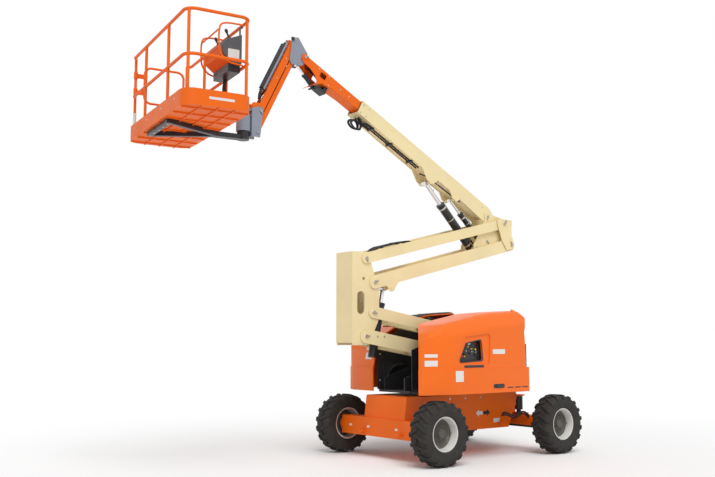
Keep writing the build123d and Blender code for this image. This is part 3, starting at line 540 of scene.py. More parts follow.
# %% The piece builder
class Piece:
    """One dressed piece: many small shapes in a single mesh."""
    def __init__(self, name, finish, body, edge=0.0012):
        self.name, self.finish, self.body, self.edge = name, finish, body, edge
        self.verts, self.faces = [], []

    def put(self, verts, faces, place=HOME):
        start = len(self.verts)
        self.verts += [place @ Vector(v) for v in verts]
        self.faces += [tuple(start + i for i in face) for face in faces]
        return self

    def prism(self, outline, low, high, place=HOME, axis="y"):
        """An outline pushed along y (x, z corners) or z (x, y corners)."""
        n = len(outline)
        verts = [(a, t, b) if axis == "y" else (a, b, t) for t in (low, high) for a, b in outline]
        sides = [(i, (i + 1) % n, n + (i + 1) % n, n + i) for i in range(n)]
        return self.put(verts, [tuple(range(n)), tuple(range(2 * n - 1, n - 1, -1)), *sides], place)

    def block(self, low, high, place=HOME):
        (a, b, c), (d, e, f) = low, high
        return self.prism([(a, b), (d, b), (d, e), (a, e)], c, f, place, "z")

    def turned(self, profile, place=HOME, sides=28):
        """A profile of (radius, height) corners spun round the place's Z."""
        verts, faces, n = [], [], len(profile)
        for i in range(sides):
            c, s = math.cos(2 * math.pi * i / sides), math.sin(2 * math.pi * i / sides)
            verts += [(r * c, r * s, h) for r, h in profile]
        for i in range(sides):
            j = (i + 1) % sides
            faces += [(i * n + k, j * n + k, j * n + k + 1, i * n + k + 1) for k in range(n - 1)]
        for k in (0, n - 1) if profile[0] != profile[-1] else ():
            if profile[k][0] > 1e-6:
                faces.append(tuple(i * n + k for i in range(sides)))
        return self.put(verts, faces, place)

    def pipe(self, points, radius, place=HOME, sides=10, soft=8):
        """A round pipe through points, curved where soft is above 1."""
        path = [Vector(p) for p in points]
        if soft > 1 and len(path) > 2:
            ends = [path[0] * 2 - path[1], *path, path[-1] * 2 - path[-2]]
            path = [*(curve_point(ends[i:i + 4], t / soft) for i in range(len(ends) - 3) for t in range(soft)),
                    path[-1]]
        verts, faces, side = [], [], None
        for i, p in enumerate(path):
            along = (path[min(i + 1, len(path) - 1)] - path[max(i - 1, 0)]).normalized()
            side = (side - along * side.dot(along)) if side else along.orthogonal()
            side.normalize()
            up = along.cross(side)
            verts += [p + (side * math.cos(a) + up * math.sin(a)) * radius
                      for a in (2 * math.pi * k / sides for k in range(sides))]
        for i in range(len(path) - 1):
            faces += [(i * sides + k, i * sides + (k + 1) % sides, (i + 1) * sides + (k + 1) % sides,
                       (i + 1) * sides + k) for k in range(sides)]
        last = (len(path) - 1) * sides
        faces += [tuple(range(sides)), tuple(range(last + sides - 1, last - 1, -1))]
        return self.put(verts, faces, place)

    def bolt(self, point, towards, size=0.010, place=HOME, spin=0.0):
        """A hexagon head on its washer; size is the head's radius."""
        seat = place @ at(point, towards, spin)
        self.turned(disc(size * 1.5, 0.0, size * 0.22), seat, 18)
        self.turned([(0.0, size * 0.2), (size, size * 0.2), (size, size * 0.85), (size * 0.85, size), (0.0, size)],
                    seat, 6)
        return self

    def done(self, replaces=()):
        return show(self.name, mesh_of(self.name, self.verts, self.faces, 1e-6), self.finish, self.body, self.edge,
                    replaces)


print("piece builder ready")

# %% [markdown]
# ## Wheels
# A tyre for rough ground has deep bars that bend over the shoulder. A picture of tread would look
# flat from the side, so each bar is a real bent strip, laid on a turned carcass. The rim is one
# turned barrel, and a dark dish with the hub and its bolts sits deep inside it. Its dark colour is
# partly the hub's own paint and dust, and partly painted shade for the shadow in the deep dish.

# %% Wheel shapes
CORNERS = ("front_left", "front_right", "rear_left", "rear_right")
BARS = 18
BAR_STEPS = (
    # across, radius on top, across at foot, radius at foot, turn (degrees), half width
    (-0.014, 0.4166, -0.014, 0.390, -0.6, 0.020),
    (0.052, 0.4176, 0.052, 0.390, 3.6, 0.021),
    (0.100, 0.4150, 0.096, 0.386, 7.2, 0.022),
    (0.132, 0.4060, 0.122, 0.378, 9.4, 0.024),
    (0.1495, 0.3860, 0.135, 0.368, 10.4, 0.026),
    (0.1520, 0.3520, 0.140, 0.350, 10.8, 0.021),
)
CARCASS = ((0.2245, 0.106), (0.2265, 0.124), (0.240, 0.134), (0.247, 0.1365), (0.250, 0.1400), (0.257, 0.1400),
           (0.260, 0.1375), (0.285, 0.1440), (0.315, 0.1465), (0.345, 0.1450), (0.368, 0.1380), (0.386, 0.122),
           (0.3945, 0.098), (0.3965, 0.0))
BARREL = ((0.2105, 0.106), (0.2238, 0.1085), (0.2240, 0.1185), (0.2190, 0.1203), (0.2095, 0.1180), (0.2040, 0.108),
          (0.2010, 0.082), (0.1905, 0.060), (0.1875, 0.020), (0.1875, -0.030), (0.2000, -0.060), (0.2030, -0.108),
          (0.2190, -0.1203), (0.2240, -0.1185), (0.2105, -0.106), (0.2090, 0.0), (0.2105, 0.106))
DISH = ((0.1870, 0.016), (0.1660, 0.012), (0.1480, -0.004), (0.1180, -0.006), (0.0900, 0.003), (0.0200, 0.003),
        (0.0200, -0.010), (0.0900, -0.010), (0.1180, -0.018), (0.1500, -0.016), (0.1680, 0.000), (0.1870, 0.004),
        (0.1870, 0.016))
HUB = ((0.0, 0.0), (0.078, 0.0), (0.078, 0.010), (0.070, 0.016), (0.0625, 0.018), (0.0610, 0.048), (0.052, 0.058),
       (0.030, 0.0595), (0.0, 0.0595))
DRIVE = disc(0.066, -0.115, -0.01)


def tread_bar(piece, place, turn, side):
    verts = []
    for across, top, foot_across, foot, lean, half in BAR_STEPS:
        for radius, height, width in ((foot, foot_across, half + 0.003), (top, across, half),
                                      (top, across, -half), (foot, foot_across, -half - 0.003)):
            angle = math.radians(turn + lean) + width / radius
            verts.append((radius * math.cos(angle), radius * math.sin(angle), side * height))
    faces = [(4 * i + k, 4 * i + (k + 1) % 4, 4 * i + 4 + (k + 1) % 4, 4 * i + 4 + k)
             for i in range(len(BAR_STEPS) - 1) for k in range(4)]
    last = 4 * len(BAR_STEPS) - 4
    piece.put(verts, [(0, 1, 2, 3), (last + 3, last + 2, last + 1, last), *faces], place)


print("bars a side:", BARS)

# %% [markdown]
# The bars of the two sides are half a step apart, as on the real tyre, so that one of them always
# touches the ground. Each wheel is built on its own axle, so the four need only one recipe.

# %% Wheels
def make_tyre(corner, body, axle):
    tyre = Piece("tyre_" + corner + "_dressed", tyre_rubber, body, 0.0035)
    tyre.turned([*CARCASS, *((r, -h) for r, h in reversed(CARCASS[:-1])), CARCASS[0]], axle, 72)
    step = 360 / BARS
    for i in range(BARS):
        tread_bar(tyre, axle, i * step, 1)
        tread_bar(tyre, axle, (i + 0.5) * step, -1)
    tyre.done(replaces=["tyre_" + corner])


def make_rim(corner, body, axle):
    rim = Piece("rim_" + corner + "_dressed", rim_white, body, 0.0)
    rim.turned(BARREL, axle, 64)
    rim.done(replaces=["rim_" + corner])
    # The dish, hub and bolts take the dark hub finish, which is partly painted shade.
    dish = Piece("hub_" + corner, hub_dark_and_painted_shade, body, 0.0008)
    dish.turned(DISH, axle, 48).turned(HUB, axle, 40).turned(DRIVE, axle, 32)
    for i, (x, y) in enumerate(ring(9, 0.104)):
        dish.bolt((x, y, -0.003), (0, 0, 1), 0.0125, axle, i * 13)
    for x, y in ring(8, 0.047, 10):
        dish.bolt((x, y, 0.0565), (0, 0, 1), 0.0055, axle)
    dish.pipe([(0.178, 0.0, 0.012), (0.176, 0.0, 0.034), (0.172, 0.0, 0.052)], 0.004, axle)
    dish.done()


for corner in CORNERS:
    low, high = box_of("tyre_" + corner)
    centre = (low + high) / 2
    axle = at(centre, (0, 1 if centre.y > 0 else -1, 0))
    make_tyre(corner, "wheel_" + corner, axle)
    make_rim(corner, "wheel_" + corner, axle)
print("wheels:", len(CORNERS), "with", 2 * BARS, "bars each")

# %% [markdown]
# ## Moulded covers
# The two covers over the engine and the tanks are large mouldings with soft edges. Subdivision
# would round everything alike. Instead a cover is cut the way its mould is drawn: a side view, a
# plan and three sloping end views meet, and the same form drawn in by the wall is taken away.

# %% Cutting tools
def tool(outline, low, high, place=HOME, axis="y"):
    """A closed prism that is only used to cut with."""
    rough = Piece("tool", orange, None).prism(outline, low, high, place, axis)
    made = bpy.data.objects.new("tool", mesh_of("tool", rough.verts, rough.faces))
    bpy.context.scene.collection.objects.link(made)
    return made


def combine(base, steps):
    """The mesh left after each (operation, tool) in turn; the tools are used up."""
    for how, other in steps:
        cut = base.modifiers.new(how, "BOOLEAN")
        cut.operation, cut.object, cut.solver = how, other, "EXACT"
    graph = bpy.context.evaluated_depsgraph_get()
    mesh = bpy.data.meshes.new_from_object(base.evaluated_get(graph))
    for other in [base, *(t for _, t in steps)]:
        bpy.data.objects.remove(other)
    return mesh


def rounded(*corners, steps=7):
    """An outline from (x, y, radius) corners; radius is the arc's, as far as the sides allow."""
    out, n = [], len(corners)
    for i in range(n):
        p, a, b = (Vector(corners[k % n][:2]) for k in (i, i - 1, i + 1))
        radius = corners[i][2]
        if not radius:
            out.append(tuple(p))
            continue
        to_a, to_b = (a - p).normalized(), (b - p).normalized()
        half = to_a.angle(to_b) / 2
        reach = min(radius / math.tan(half), (a - p).length * 0.49, (b - p).length * 0.49)
        centre = p + (to_a + to_b).normalized() * (reach / math.cos(half))
        start, end = p + to_a * reach - centre, p + to_b * reach - centre
        turn = start.angle_signed(end)
        for k in range(steps + 1):
            angle = -turn * k / steps
            c, s = math.cos(angle), math.sin(angle)
            out.append((centre.x + start.x * c - start.y * s, centre.y + start.x * s + start.y * c))
    return out


print("cutting tools ready")

# %% [markdown]
# `hood_form` returns the views of one cover. Called again with the wall's thickness, it gives the
# hollow inside, so the wall stays even wherever the form changes. The skirt below the waist stands
# a little proud and runs straight down to the hem.

# %% Form of a cover
HOOD_Y, HOOD_IN, HEM, WAIST, REAR, WALL = 1.062, 0.332, 0.905, 1.240, -0.523, 0.022


def hood_form(front, i):
    """Tools whose common part is the cover's form, drawn in by i."""
    crest = [(REAR + 0.095, 2.034 - i), (REAR + 0.650, 1.993 - i), (front - 0.416, 1.816 - i),
             (front - 0.200, 1.700 - i)]
    side = rounded((front - 0.036 - i, HEM - 0.06, 0), (front - i, WAIST, 0.06), (front - 0.060 - i, 1.560, 0.25),
                   (*crest[3], 0.14), (*crest[2], 0.35), (*crest[1], 0.9), (REAR + 0.095 + i, 2.034 - i, 0.07),
                   (REAR - 0.012 + i, 1.925, 0.05), (REAR - 0.008 + i, 1.850, 0.03), (REAR + 0.066 + i, 1.740, 0.05),
                   (REAR + i, WAIST, 0), (REAR + i, HEM - 0.06, 0))
    plan = rounded((front + 0.06, 0.0, 0), (front + 0.005 - i, 0.760, 0), (front - 0.055 - i, 0.930 - i, 0.10),
                   (front - 0.50, HOOD_Y - i, 0.5), (REAR + 0.03 + i, HOOD_Y - i, 0.10),
                   (REAR - 0.04 + i, HOOD_Y - 0.11 - i, 0), (REAR - 0.04 + i, 0.0, 0))
    ends = []
    for (xa, za), (xb, zb) in zip(crest, crest[1:]):
        fall = (zb - za) / (xb - xa)
        shear = Matrix(((1, 0, 0, 0), (0, 1, 0, 0), (fall, 0, 1, za - fall * xa), (0, 0, 0, 1)))
        turn = shear @ Matrix(((0, 1, 0, 0), (1, 0, 0, 0), (0, 0, 1, 0), (0, 0, 0, 1)))
        ends.append(tool(rounded((-0.1, -2.6, 0), (HOOD_Y - i, -2.6, 0), (HOOD_Y - i, -0.19, 0.12),
                                 (HOOD_Y - 0.12 - i, 0.006, 0.14), (-0.1, 0.032, 0), steps=9), -1.4, 2.4, turn))
    return tool(side, -0.1, 1.3), [("INTERSECT", tool(plan, 0.5, 2.5, HOME, "z")),
                                   *(("INTERSECT", end) for end in ends)]


def skirt(front, i, foot):
    plan = rounded((front + 0.007 - i, 0.1, 0), (front + 0.012 - i, 0.765, 0), (front - 0.047 - i, 0.938 - i, 0.10),
                   (front - 0.50, HOOD_Y + 0.008 - i, 0.5), (REAR - 0.064 + i, HOOD_Y + 0.008 - i, 0.08),
                   (REAR - 0.064 + i, 0.1, 0))
    return tool(plan, foot, WAIST - i * 0.4, HOME, "z")


print("wall", WALL, "m")

# %% [markdown]
# The near cover has more to cut: a field sunk round a window to the ground controls, with its own
# plate behind, and an inner front corner that is left open so that the tower can pass. The far
# cover is shorter and plain; it is built on the left too and then mirrored.

# %% Covers
WINDOW_BACK = ((0.90, 1.28, 0.04), (0.735, 1.69, 0.05), (0.205, 1.74, 0.05), (0.222, 1.27, 0.04))
WINDOW_FIELD = ((0.870, 1.309, 0.03), (0.712, 1.658, 0.045), (0.233, 1.706, 0.045), (0.252, 1.299, 0.03))
WINDOW_HOLE = ((0.814, 1.325, 0.025), (0.682, 1.567, 0.03), (0.403, 1.618, 0.03), (0.376, 1.347, 0.025))
OPEN_CORNER = ((1.47, 0.890), (1.395, 0.890), (0.880, 0.315), (0.60, 0.20), (1.60, 0.20))
SUNK, BACK_AT, THROUGH = 0.014, 0.034, 0.1


def near_cuts():
    return [("UNION", tool(rounded(*WINDOW_BACK), HOOD_Y - BACK_AT, HOOD_Y - SUNK)),
            ("DIFFERENCE", tool(rounded(*WINDOW_FIELD), HOOD_Y - SUNK, HOOD_Y + THROUGH)),
            ("DIFFERENCE", tool(rounded(*WINDOW_HOLE), HOOD_Y - THROUGH, HOOD_Y + THROUGH)),
            ("DIFFERENCE", tool(OPEN_CORNER, 0.8, 2.2, HOME, "z"))]


def make_hood(name, front, side, cuts):
    outer, steps = hood_form(front, 0.0)
    base = bpy.data.objects.new("form", combine(outer, [*steps, ("UNION", skirt(front, 0.0, HEM))]))
    inner, steps = hood_form(front, WALL)
    hollow = bpy.data.objects.new("hollow", combine(inner, [*steps, ("UNION", skirt(front, WALL, HEM - 0.1))]))
    for made in (base, hollow):
        bpy.context.scene.collection.objects.link(made)
    keep = tool([(REAR - 0.2, HEM), (front + 0.2, HEM), (front + 0.2, 2.3), (REAR - 0.2, 2.3)], HOOD_IN, 1.3)
    mesh = combine(base, [("DIFFERENCE", hollow), ("INTERSECT", keep), *cuts])
    if side < 0:
        mesh.transform(Matrix.Scale(-1, 4, (0, 1, 0)))
        mesh.flip_normals()
    show(name + "_moulded", mesh, hood_orange, name, 0.004, [name], segments=3, limit=50)


make_hood("hood_left", 1.430, 1, near_cuts())
make_hood("hood_right", 1.160, -1, ())
print("covers made")

# %% [markdown]
# ## Covers' fittings and the engine bay
# Every label is left blank: a thin plate with round corners, as printed film has. Lenses and knobs
# are moulded. All come from the recipes above, with a colour and a gloss of their own.

# %% Small finishes
plate_white = sprayed("plate_white", (0.74, 0.73, 0.70), rough=0.4, dusty=0.1)
plate_dark = sprayed("plate_dark", (0.030, 0.030, 0.034), rough=0.4, dusty=0.1)
amber = moulded("amber_lens", (0.80, 0.30, 0.01), 0.15, 0.8)
red_plastic = moulded("red_plastic", (0.62, 0.02, 0.015), 0.3, 0.4)
yellow_plastic = moulded("yellow_plastic", (0.80, 0.50, 0.02), 0.35, 0.3)
green_plastic = moulded("green_plastic", (0.03, 0.22, 0.05), 0.35, 0.3)
print("small finishes: 6")

# %% [markdown]
# The near cover has plates on its side and on its slanting front corner. An image could stand for
# them, but a thin plate keeps a true edge. The corner's plates lie in a place of their own: along
# the corner, up it and out of it.

# %% Near cover's plates
SIDE_Y, SKIRT_Y = 1.062, 1.070


def plate(piece, x0, x1, z0, z1, y, thick=0.0015, radius=0.006):
    """A thin plate with round corners, flat against a side that faces +Y."""
    return piece.prism(oblong(x0, x1, z0, z1, radius), y, y + thick)

white = Piece("near_plates", plate_white, "hood_left", 0.0)
plate(white, -0.052, 0.190, 1.428, 1.492, SIDE_Y)
plate(white, 0.760, 0.905, 1.070, 1.212, SKIRT_Y)
corner = framed((1.246, 0.9683, 1.36), (0.959, -0.284, 0), (0, 0, 1), (0.284, 0.959, 0))
for low, high in ((0.030, 0.072), (-0.085, -0.010)):
    white.prism(oblong(-0.095, 0.095, low, high, 0.006), 0.0, 0.0016, corner, "z")
white.done()
print("plates on the near cover")

# %% [markdown]
# A rubber trim runs round the window, a latch and three slots sit in the hem, and an amber cap on a
# dark base stands on top. A boolean could cut the trim, but two outlines joined by faces give the
# same flat frame at once.

# %% Near cover's dark parts
TRIM = rounded((0.832, 1.313, 0.03), (0.694, 1.580, 0.035), (0.393, 1.632, 0.035), (0.363, 1.334, 0.03))
OPENING = rounded((0.812, 1.327, 0.025), (0.681, 1.565, 0.03), (0.405, 1.616, 0.03), (0.378, 1.348, 0.025))
BASE = ((0.0, -0.03), (0.040, -0.03), (0.040, 0.004), (0.034, 0.010), (0.0, 0.010))
LENS = ((0.0, 0.009), (0.028, 0.009), (0.028, 0.024), (0.022, 0.033), (0.010, 0.037), (0.0, 0.038))


def surround(piece, outer, inner, y0, y1):
    """A flat frame between two outlines with as many corners as each other."""
    n = len(outer)
    verts = [(x, y, z) for y in (y0, y1) for line in (outer, inner) for x, z in line]
    rings = ((0, n), (2 * n, 3 * n), (0, 2 * n), (n, 3 * n))
    piece.put(verts, [(a + i, a + (i + 1) % n, b + (i + 1) % n, b + i) for i in range(n) for a, b in rings])

dark = Piece("near_dark", plate_dark, "hood_left", 0.0006)
plate(dark, 0.365, 0.735, 1.250, 1.284, SIDE_Y)
for x0 in (-0.505, -0.355, -0.205):
    plate(dark, x0, x0 + 0.118, 0.962, 0.978, SKIRT_Y, 0.0012, 0.007)
plate(dark, -0.020, 0.190, 0.968, 1.022, SKIRT_Y, 0.006, 0.020)
plate(dark, 0.020, 0.150, 0.980, 1.010, SKIRT_Y + 0.004, 0.014, 0.013)
surround(dark, TRIM, OPENING, 1.047, 1.052)
dark.done()
stand = at((-0.395, 0.900, 2.016), (0.05, 0.25, 1))
Piece("cap_base", plate_dark, "hood_left").turned(BASE, stand).done()
Piece("cap_amber", amber, "hood_left").turned(LENS, stand).done()
print("near cover dressed")

# %% [markdown]
# The far cover shows only its front strip and its top. Two pale plates lean with the strip, and a
# dark grille for warm air follows the top in two straight runs. An array of bars would miss the
# bend, so a loop counts the bars that fit each run.

# %% Far cover
STRIP_LEAN, STRIP_X, STRIP_LOW = math.radians(10.6), 1.1395, 1.345
GRILLE = (-0.42, 2.036), (0.127, 1.996), (0.744, 1.820)

s, c = math.sin(STRIP_LEAN), math.cos(STRIP_LEAN)
white = Piece("far_plates", plate_white, "hood_right", 0.0)
for low, high in ((1.475, 1.520), (1.345, 1.440)):
    foot = (STRIP_X - (low - STRIP_LOW) * 0.18, -0.455, low)
    white.prism(oblong(-0.075, 0.075, 0.0, high - low, 0.006), 0.0, 0.003,
                framed(foot, (0, 1, 0), (-s, 0, c), (c, 0, s)), "z")
white.done()
dark = Piece("far_grille", plate_dark, "hood_right", 0.002)
for (xa, za), (xb, zb) in zip(GRILLE, GRILLE[1:]):
    top = tilted((xa, 0, za), math.degrees(math.atan2(zb - za, xb - xa)))
    run = math.hypot(xb - xa, zb - za)
    dark.block((0.0, -0.62, -0.012), (run, -0.345, 0.006), top)
    bars = int(run / 0.05)
    for i in range(bars):
        u = 0.03 + i * (run - 0.06) / bars
        dark.block((u, -0.60, 0.006), (u + 0.018, -0.365, 0.013), top)
dark.done()
print("far cover dressed")

# %% [markdown]
# Behind the window are the ground controls. A picture would do from far off, but the knobs stand
# out and throw shadows, so each is turned. Its place looks out of the panel's face.

# %% Window panel
PANEL_Y = 0.985
KNOBS = (
    # colour, finish, and each knob's x, z and radius
    ("yellow", yellow_plastic, ((0.455, 1.49, 0.014), (0.53, 1.50, 0.011), (0.60, 1.53, 0.013), (0.665, 1.40, 0.012))),
    ("red", red_plastic, ((0.715, 1.40, 0.020), (0.47, 1.57, 0.010))),
    ("green", green_plastic, ((0.635, 1.50, 0.010), (0.50, 1.545, 0.008))),
)


def on_panel(x, z):
    return at((x, PANEL_Y, z), (0, 1, 0))

panel = Piece("window_panel", plate_dark, "turntable", 0.004)
panel.prism(oblong(0.330, 0.860, 1.300, 1.650, 0.02), 0.960, PANEL_Y)
panel.block((0.36, 0.70, 1.40), (0.83, 0.960, 1.62)).block((0.40, 0.70, 0.924), (0.52, 0.80, 1.40))
for x, z in ((0.46, 1.42), (0.56, 1.44), (0.66, 1.43)):
    panel.turned([(0.0, 0.0), (0.016, 0.0), (0.015, 0.020), (0.006, 0.024), (0.0, 0.024)], on_panel(x, z))
panel.done(replaces=["ground_control"])
for colour, finish, spots in KNOBS:
    knobs = Piece("knobs_" + colour, finish, "turntable", 0.0008)
    for x, z, r in spots:
        knobs.turned([(0.0, 0.0), (r, 0.0), (r, 0.010), (r * 0.7, 0.016), (0.0, 0.017)], on_panel(x, z))
    knobs.done()
dials = Piece("panel_dials", plate_white, "turntable", 0.0006)
for x, z in ((0.575, 1.575), (0.655, 1.565)):
    dials.turned([(0.0, 0.0), (0.024, 0.0), (0.024, 0.008), (0.020, 0.009), (0.0, 0.007)], on_panel(x, z))
for x, z in ((0.43, 1.45), (0.50, 1.455), (0.61, 1.465)):
    dials.block((x, PANEL_Y, z), (x + 0.022, 0.9856, z + 0.009))
dials.done()
print("window panel dressed")

# %% [markdown]
# Both tanks are blow-moulded, so their corners are very round. Subdivision would swell the flat
# sides too, so an oblong is pushed up and gets a wide bevel, with a screw cap on top.

# %% Tanks
TANKS = (
    # piece, solid it stands for, oblong, height, filler's place, filler's profile, edge
    ("tank_moulded", "hydraulic_tank", (-0.440, -0.060, 0.380, 0.900, 0.05), 1.500, (-0.16, 0.80),
     cap(0.045, 0.03, 0.036, 0.042), 0.02),
    ("fuel_moulded", "fuel_tank", (0.430, 0.860, 0.345, 0.640, 0.05), 1.330, (0.56, 0.50),
     cap(0.038, 0.028, 0.030, 0.036), 0.018),
)

for name, node, outline, top, spot, filler, edge in TANKS:
    tank = Piece(name, tank_plastic, "turntable", edge)
    tank.prism(oblong(*outline), 0.925, top, HOME, "z").turned(filler, at((*spot, top)))
    tank.done(replaces=[node])
print("tanks:", len(TANKS))

# %% [markdown]
# Dark sheets close the bay towards the tower, with boxes, bolts and hoses on the side that shows
# past the boom. Loose small parts give the eye a scale that a bare wall lacks.

# %% Bay walls
LEFT_WALL = ((0.87, 0.93), (0.87, 1.60), (0.80, 1.74), (0.25, 1.90), (-0.46, 1.90), (-0.50, 0.93))
RIGHT_WALL = ((1.09, 0.93), (1.07, 1.48), (0.93, 1.62), (0.60, 1.82), (-0.46, 1.90), (-0.50, 0.93))
SHEET, LINER, BOX_FACE = (0.3225, 0.3265), (0.3010, 0.3055), 0.2950

bulkhead = Piece("near_bulkhead", plate_dark, "hood_left", 0.002)
bulkhead.prism([(1.380, 0.886), (0.872, 0.332), (0.862, 0.344), (1.370, 0.898)], 0.93, 1.52, HOME, "z")
bulkhead.done()
wall = Piece("bay_walls", plate_dark, "turntable", 0.0015)
for outline, sheet, liner in zip((LEFT_WALL, RIGHT_WALL), both(*SHEET), both(*LINER)):
    wall.prism(outline, *sheet)
    wall.prism([(min(x, 0.99), z if z < 1.48 else z - 0.16) for x, z in outline], *liner)
for x, z in ((0.80, 1.20), (0.45, 1.30), (0.30, 1.08), (0.95, 1.35), (0.62, 1.50)):
    wall.block((x, -LINER[0], z), (x + 0.09, -BOX_FACE, z + 0.05))
    wall.block((x + 0.02, -SHEET[0], z - 0.10), (x + 0.05, -BOX_FACE, z - 0.02))
wall.done()
bits = Piece("bay_bolts", zinc, "turntable", 0.0)
for x, z in ((1.04, 1.42), (1.04, 1.05), (0.86, 1.55), (0.70, 0.98), (0.40, 1.62), (0.98, 1.20), (0.52, 1.16)):
    bits.bolt((x, -SHEET[0], z), (0, 1, 0), 0.011)
bits.done()
hoses = Piece("bay_hoses", hose_rubber, "turntable", 0.0)
for i in range(3):
    y = -0.283 + 0.022 * i
    hoses.pipe([(0.98 - 0.03 * i, y, 0.93), (0.95, y, 1.10 + 0.02 * i), (0.80, y, 1.26),
                (0.52, y, 1.30 - 0.03 * i), (0.30, y, 1.16), (0.10, y, 0.98)], 0.011)
hoses.done()
print("engine bay dressed")

# %% [markdown]
# The engine is only seen when a cover is up, so a plain four-cylinder lump with a fan, caps and an
# exhaust is enough. It is measured from the solid it stands for, so it fits whatever that size is.

# %% Engine
low, high = box_of("engine_block")
middle = (low + high) / 2
lid, pipe_y, pipe_z = high.z - 0.05, low.y + 0.02, high.z - 0.27
block = Piece("engine_dressed", engine_metal, "turntable", 0.006)
block.block((low.x, low.y + 0.06, low.z), (high.x - 0.12, high.y - 0.06, high.z - 0.16))
block.block((low.x + 0.02, low.y + 0.10, high.z - 0.16), (high.x - 0.16, high.y - 0.12, lid))
block.turned([(0.0, 0.0), (0.17, 0.0), (0.17, 0.03), (0.05, 0.05), (0.0, 0.05)],
             at((high.x - 0.12, middle.y, middle.z), (1, 0, 0)))
for i in range(4):
    x = low.x + 0.08 + 0.10 * i
    block.turned([(0.0, 0.0), (0.028, 0.0), (0.028, 0.03), (0.0, 0.035)], at((x, middle.y, lid)))
    block.pipe([(x, low.y + 0.07, high.z - 0.20), (x, low.y + 0.03, high.z - 0.22), (x + 0.03, pipe_y, pipe_z)],
               0.02)
block.pipe([(low.x + 0.05, pipe_y, pipe_z), (high.x - 0.16, pipe_y, pipe_z)], 0.026, soft=1)
block.done(replaces=["engine_block"])
print("engine dressed")

# %% [markdown]
# ## Chassis
# Two arrows on the frame's side say which way the machine drives, one pale and one dark. A picture
# would blur close up, so each is a thin plate; one function draws the outline pointed either way.

# %% Chassis plates
FRAME_Y, NOSE_X = 0.4302, 1.2752


def arrow(tip, neck, tail):
    return [(tip, 0.578), (neck, 0.628), (neck, 0.602), (tail, 0.602), (tail, 0.554), (neck, 0.554), (neck, 0.528)]

white = Piece("arrow_white", plate_white, "chassis", 0.0)
white.prism(arrow(-0.110, -0.172, -0.246), FRAME_Y, FRAME_Y + 0.0012)
plate(white, -0.600, -0.470, 0.430, 0.490, FRAME_Y)
for y in (-0.70, -0.30, 0.30, 0.70):
    white.block((NOSE_X, y - 0.028, 0.405), (NOSE_X + 0.0015, y + 0.028, 0.433))
white.done()
dark = Piece("arrow_dark", plate_dark, "chassis", 0.0)
dark.prism(arrow(-0.400, -0.338, -0.262), FRAME_Y, FRAME_Y + 0.0012).done()
print("chassis plates: 2 arrows")

# %% [markdown]
# Hoses run back to the steering axle, and bolts hold the axles and the ring the turntable turns on.
# Curves with a bevel would also make hoses. A `pipe` puts all of one body into a single mesh.

# %% Chassis hoses and bolts
front, steer, swing = JOINTS["wheel_front_left_spin"], JOINTS["steering"], JOINTS["swing"]
hoses = Piece("axle_hoses", hose_rubber, "chassis", 0.0)
for side in LEFT_RIGHT:
    for i, z in enumerate((0.52, 0.55)):
        hoses.pipe([(-0.640 - 0.02 * i, side * 0.425, z), (-0.690, side * 0.475, z + 0.01),
                    (-0.800, side * 0.53, z - 0.03), (-0.960, side * 0.56, z + 0.02),
                    (-1.075, side * 0.56, z - 0.03), (-1.100, side * 0.56, z - 0.06)], 0.012)
    hoses.pipe([(-1.052, side * 0.345, 0.70), (-1.0, side * 0.30, 0.66), (-0.97, side * 0.22, 0.74),
                (-0.955, side * 0.18, 0.80)], 0.009)
hoses.done()
metal, grease = Piece("chassis_bolts", zinc, "chassis", 0.0), Piece("axle_grease", zinc, "chassis", 0.0)
for side in LEFT_RIGHT:
    out = (0, side, 0)
    for x, z in ring(6, 0.088, 15):
        metal.bolt((front.x + x, side * 0.9035, front.z + z), out, 0.009)
    for z in (0.49, 0.56, 0.63):
        metal.bolt((0.93, side * FRAME_Y, z), out, 0.010)
    for x in (-0.20, 0.10, 0.40):
        metal.bolt((x, side * FRAME_Y, 0.80), out, 0.009)
    metal.turned(cap(0.038, 0.008, 0.030, 0.012), at((steer.x, side * steer.y, 0.5342)))
    grease.pipe([(-1.052, side * 0.40, 0.55), (-1.052, side * 0.40, 0.60)], 0.007, soft=1)
for x, y in ring(24, 0.385):
    metal.bolt((x, y, swing.z), (0, 0, 1), 0.009)
metal.done()
grease.done()
print("chassis dressed")

# %% [markdown]
# ## Tower and boom
# Each pin ends in a bright face with a dimple. A keeper plate and one bolt stop it turning. One
# table row says where a pin is, so a new pin is a new row and not new code.

# %% Pins and keepers
pin_steel = bare("pin_steel", (0.42, 0.40, 0.38), 0.40)
KEEPERS = (
    # joint, body, where the pin ends, pin radius, way the keeper points
    ("upright_pivot", "upright", 0.2045, 0.024, 200), ("upper_arm_pivot", "upright", 0.2045, 0.024, 160),
    ("upper_link_pivot", "upright", 0.2045, 0.024, 250), ("end_bracket_pivot", "end_bracket", 0.2235, 0.026, 60),
    ("tower_raise", "turntable", 0.2355, 0.026, 0), ("lower_link_pivot", "turntable", 0.2355, 0.026, 0),
    ("boom_lift", "end_bracket", 0.1440, 0.025, 300), ("lift_pivot", "end_bracket", 0.1440, 0.024, 200),
    ("level_pivot", "end_bracket", 0.1440, 0.020, 220), ("knuckle_level", "fly", 0.1045, 0.020, 170),
    ("jib_lift", "knuckle", 0.0735, 0.018, 60), ("jib_link_pivot", "knuckle", 0.0735, 0.015, 20),
    ("jib_end_pivot", "jib_end", 0.0855, 0.018, 240),
)
MORE_PINS = (((1.705, 1.670), "upright", 0.2045, 0.024, 180), ((-1.021, 3.409), "end_bracket", 0.2235, 0.026, 120),
             ((3.3716, 4.2284), "jib_end", 0.0855, 0.015, 200), ((1.507, 1.666), "lower_link", 0.1962, 0.014, 90),
             ((1.390, 1.666), "lower_link", 0.1962, 0.014, 90))
SMALL_PIN = 0.016


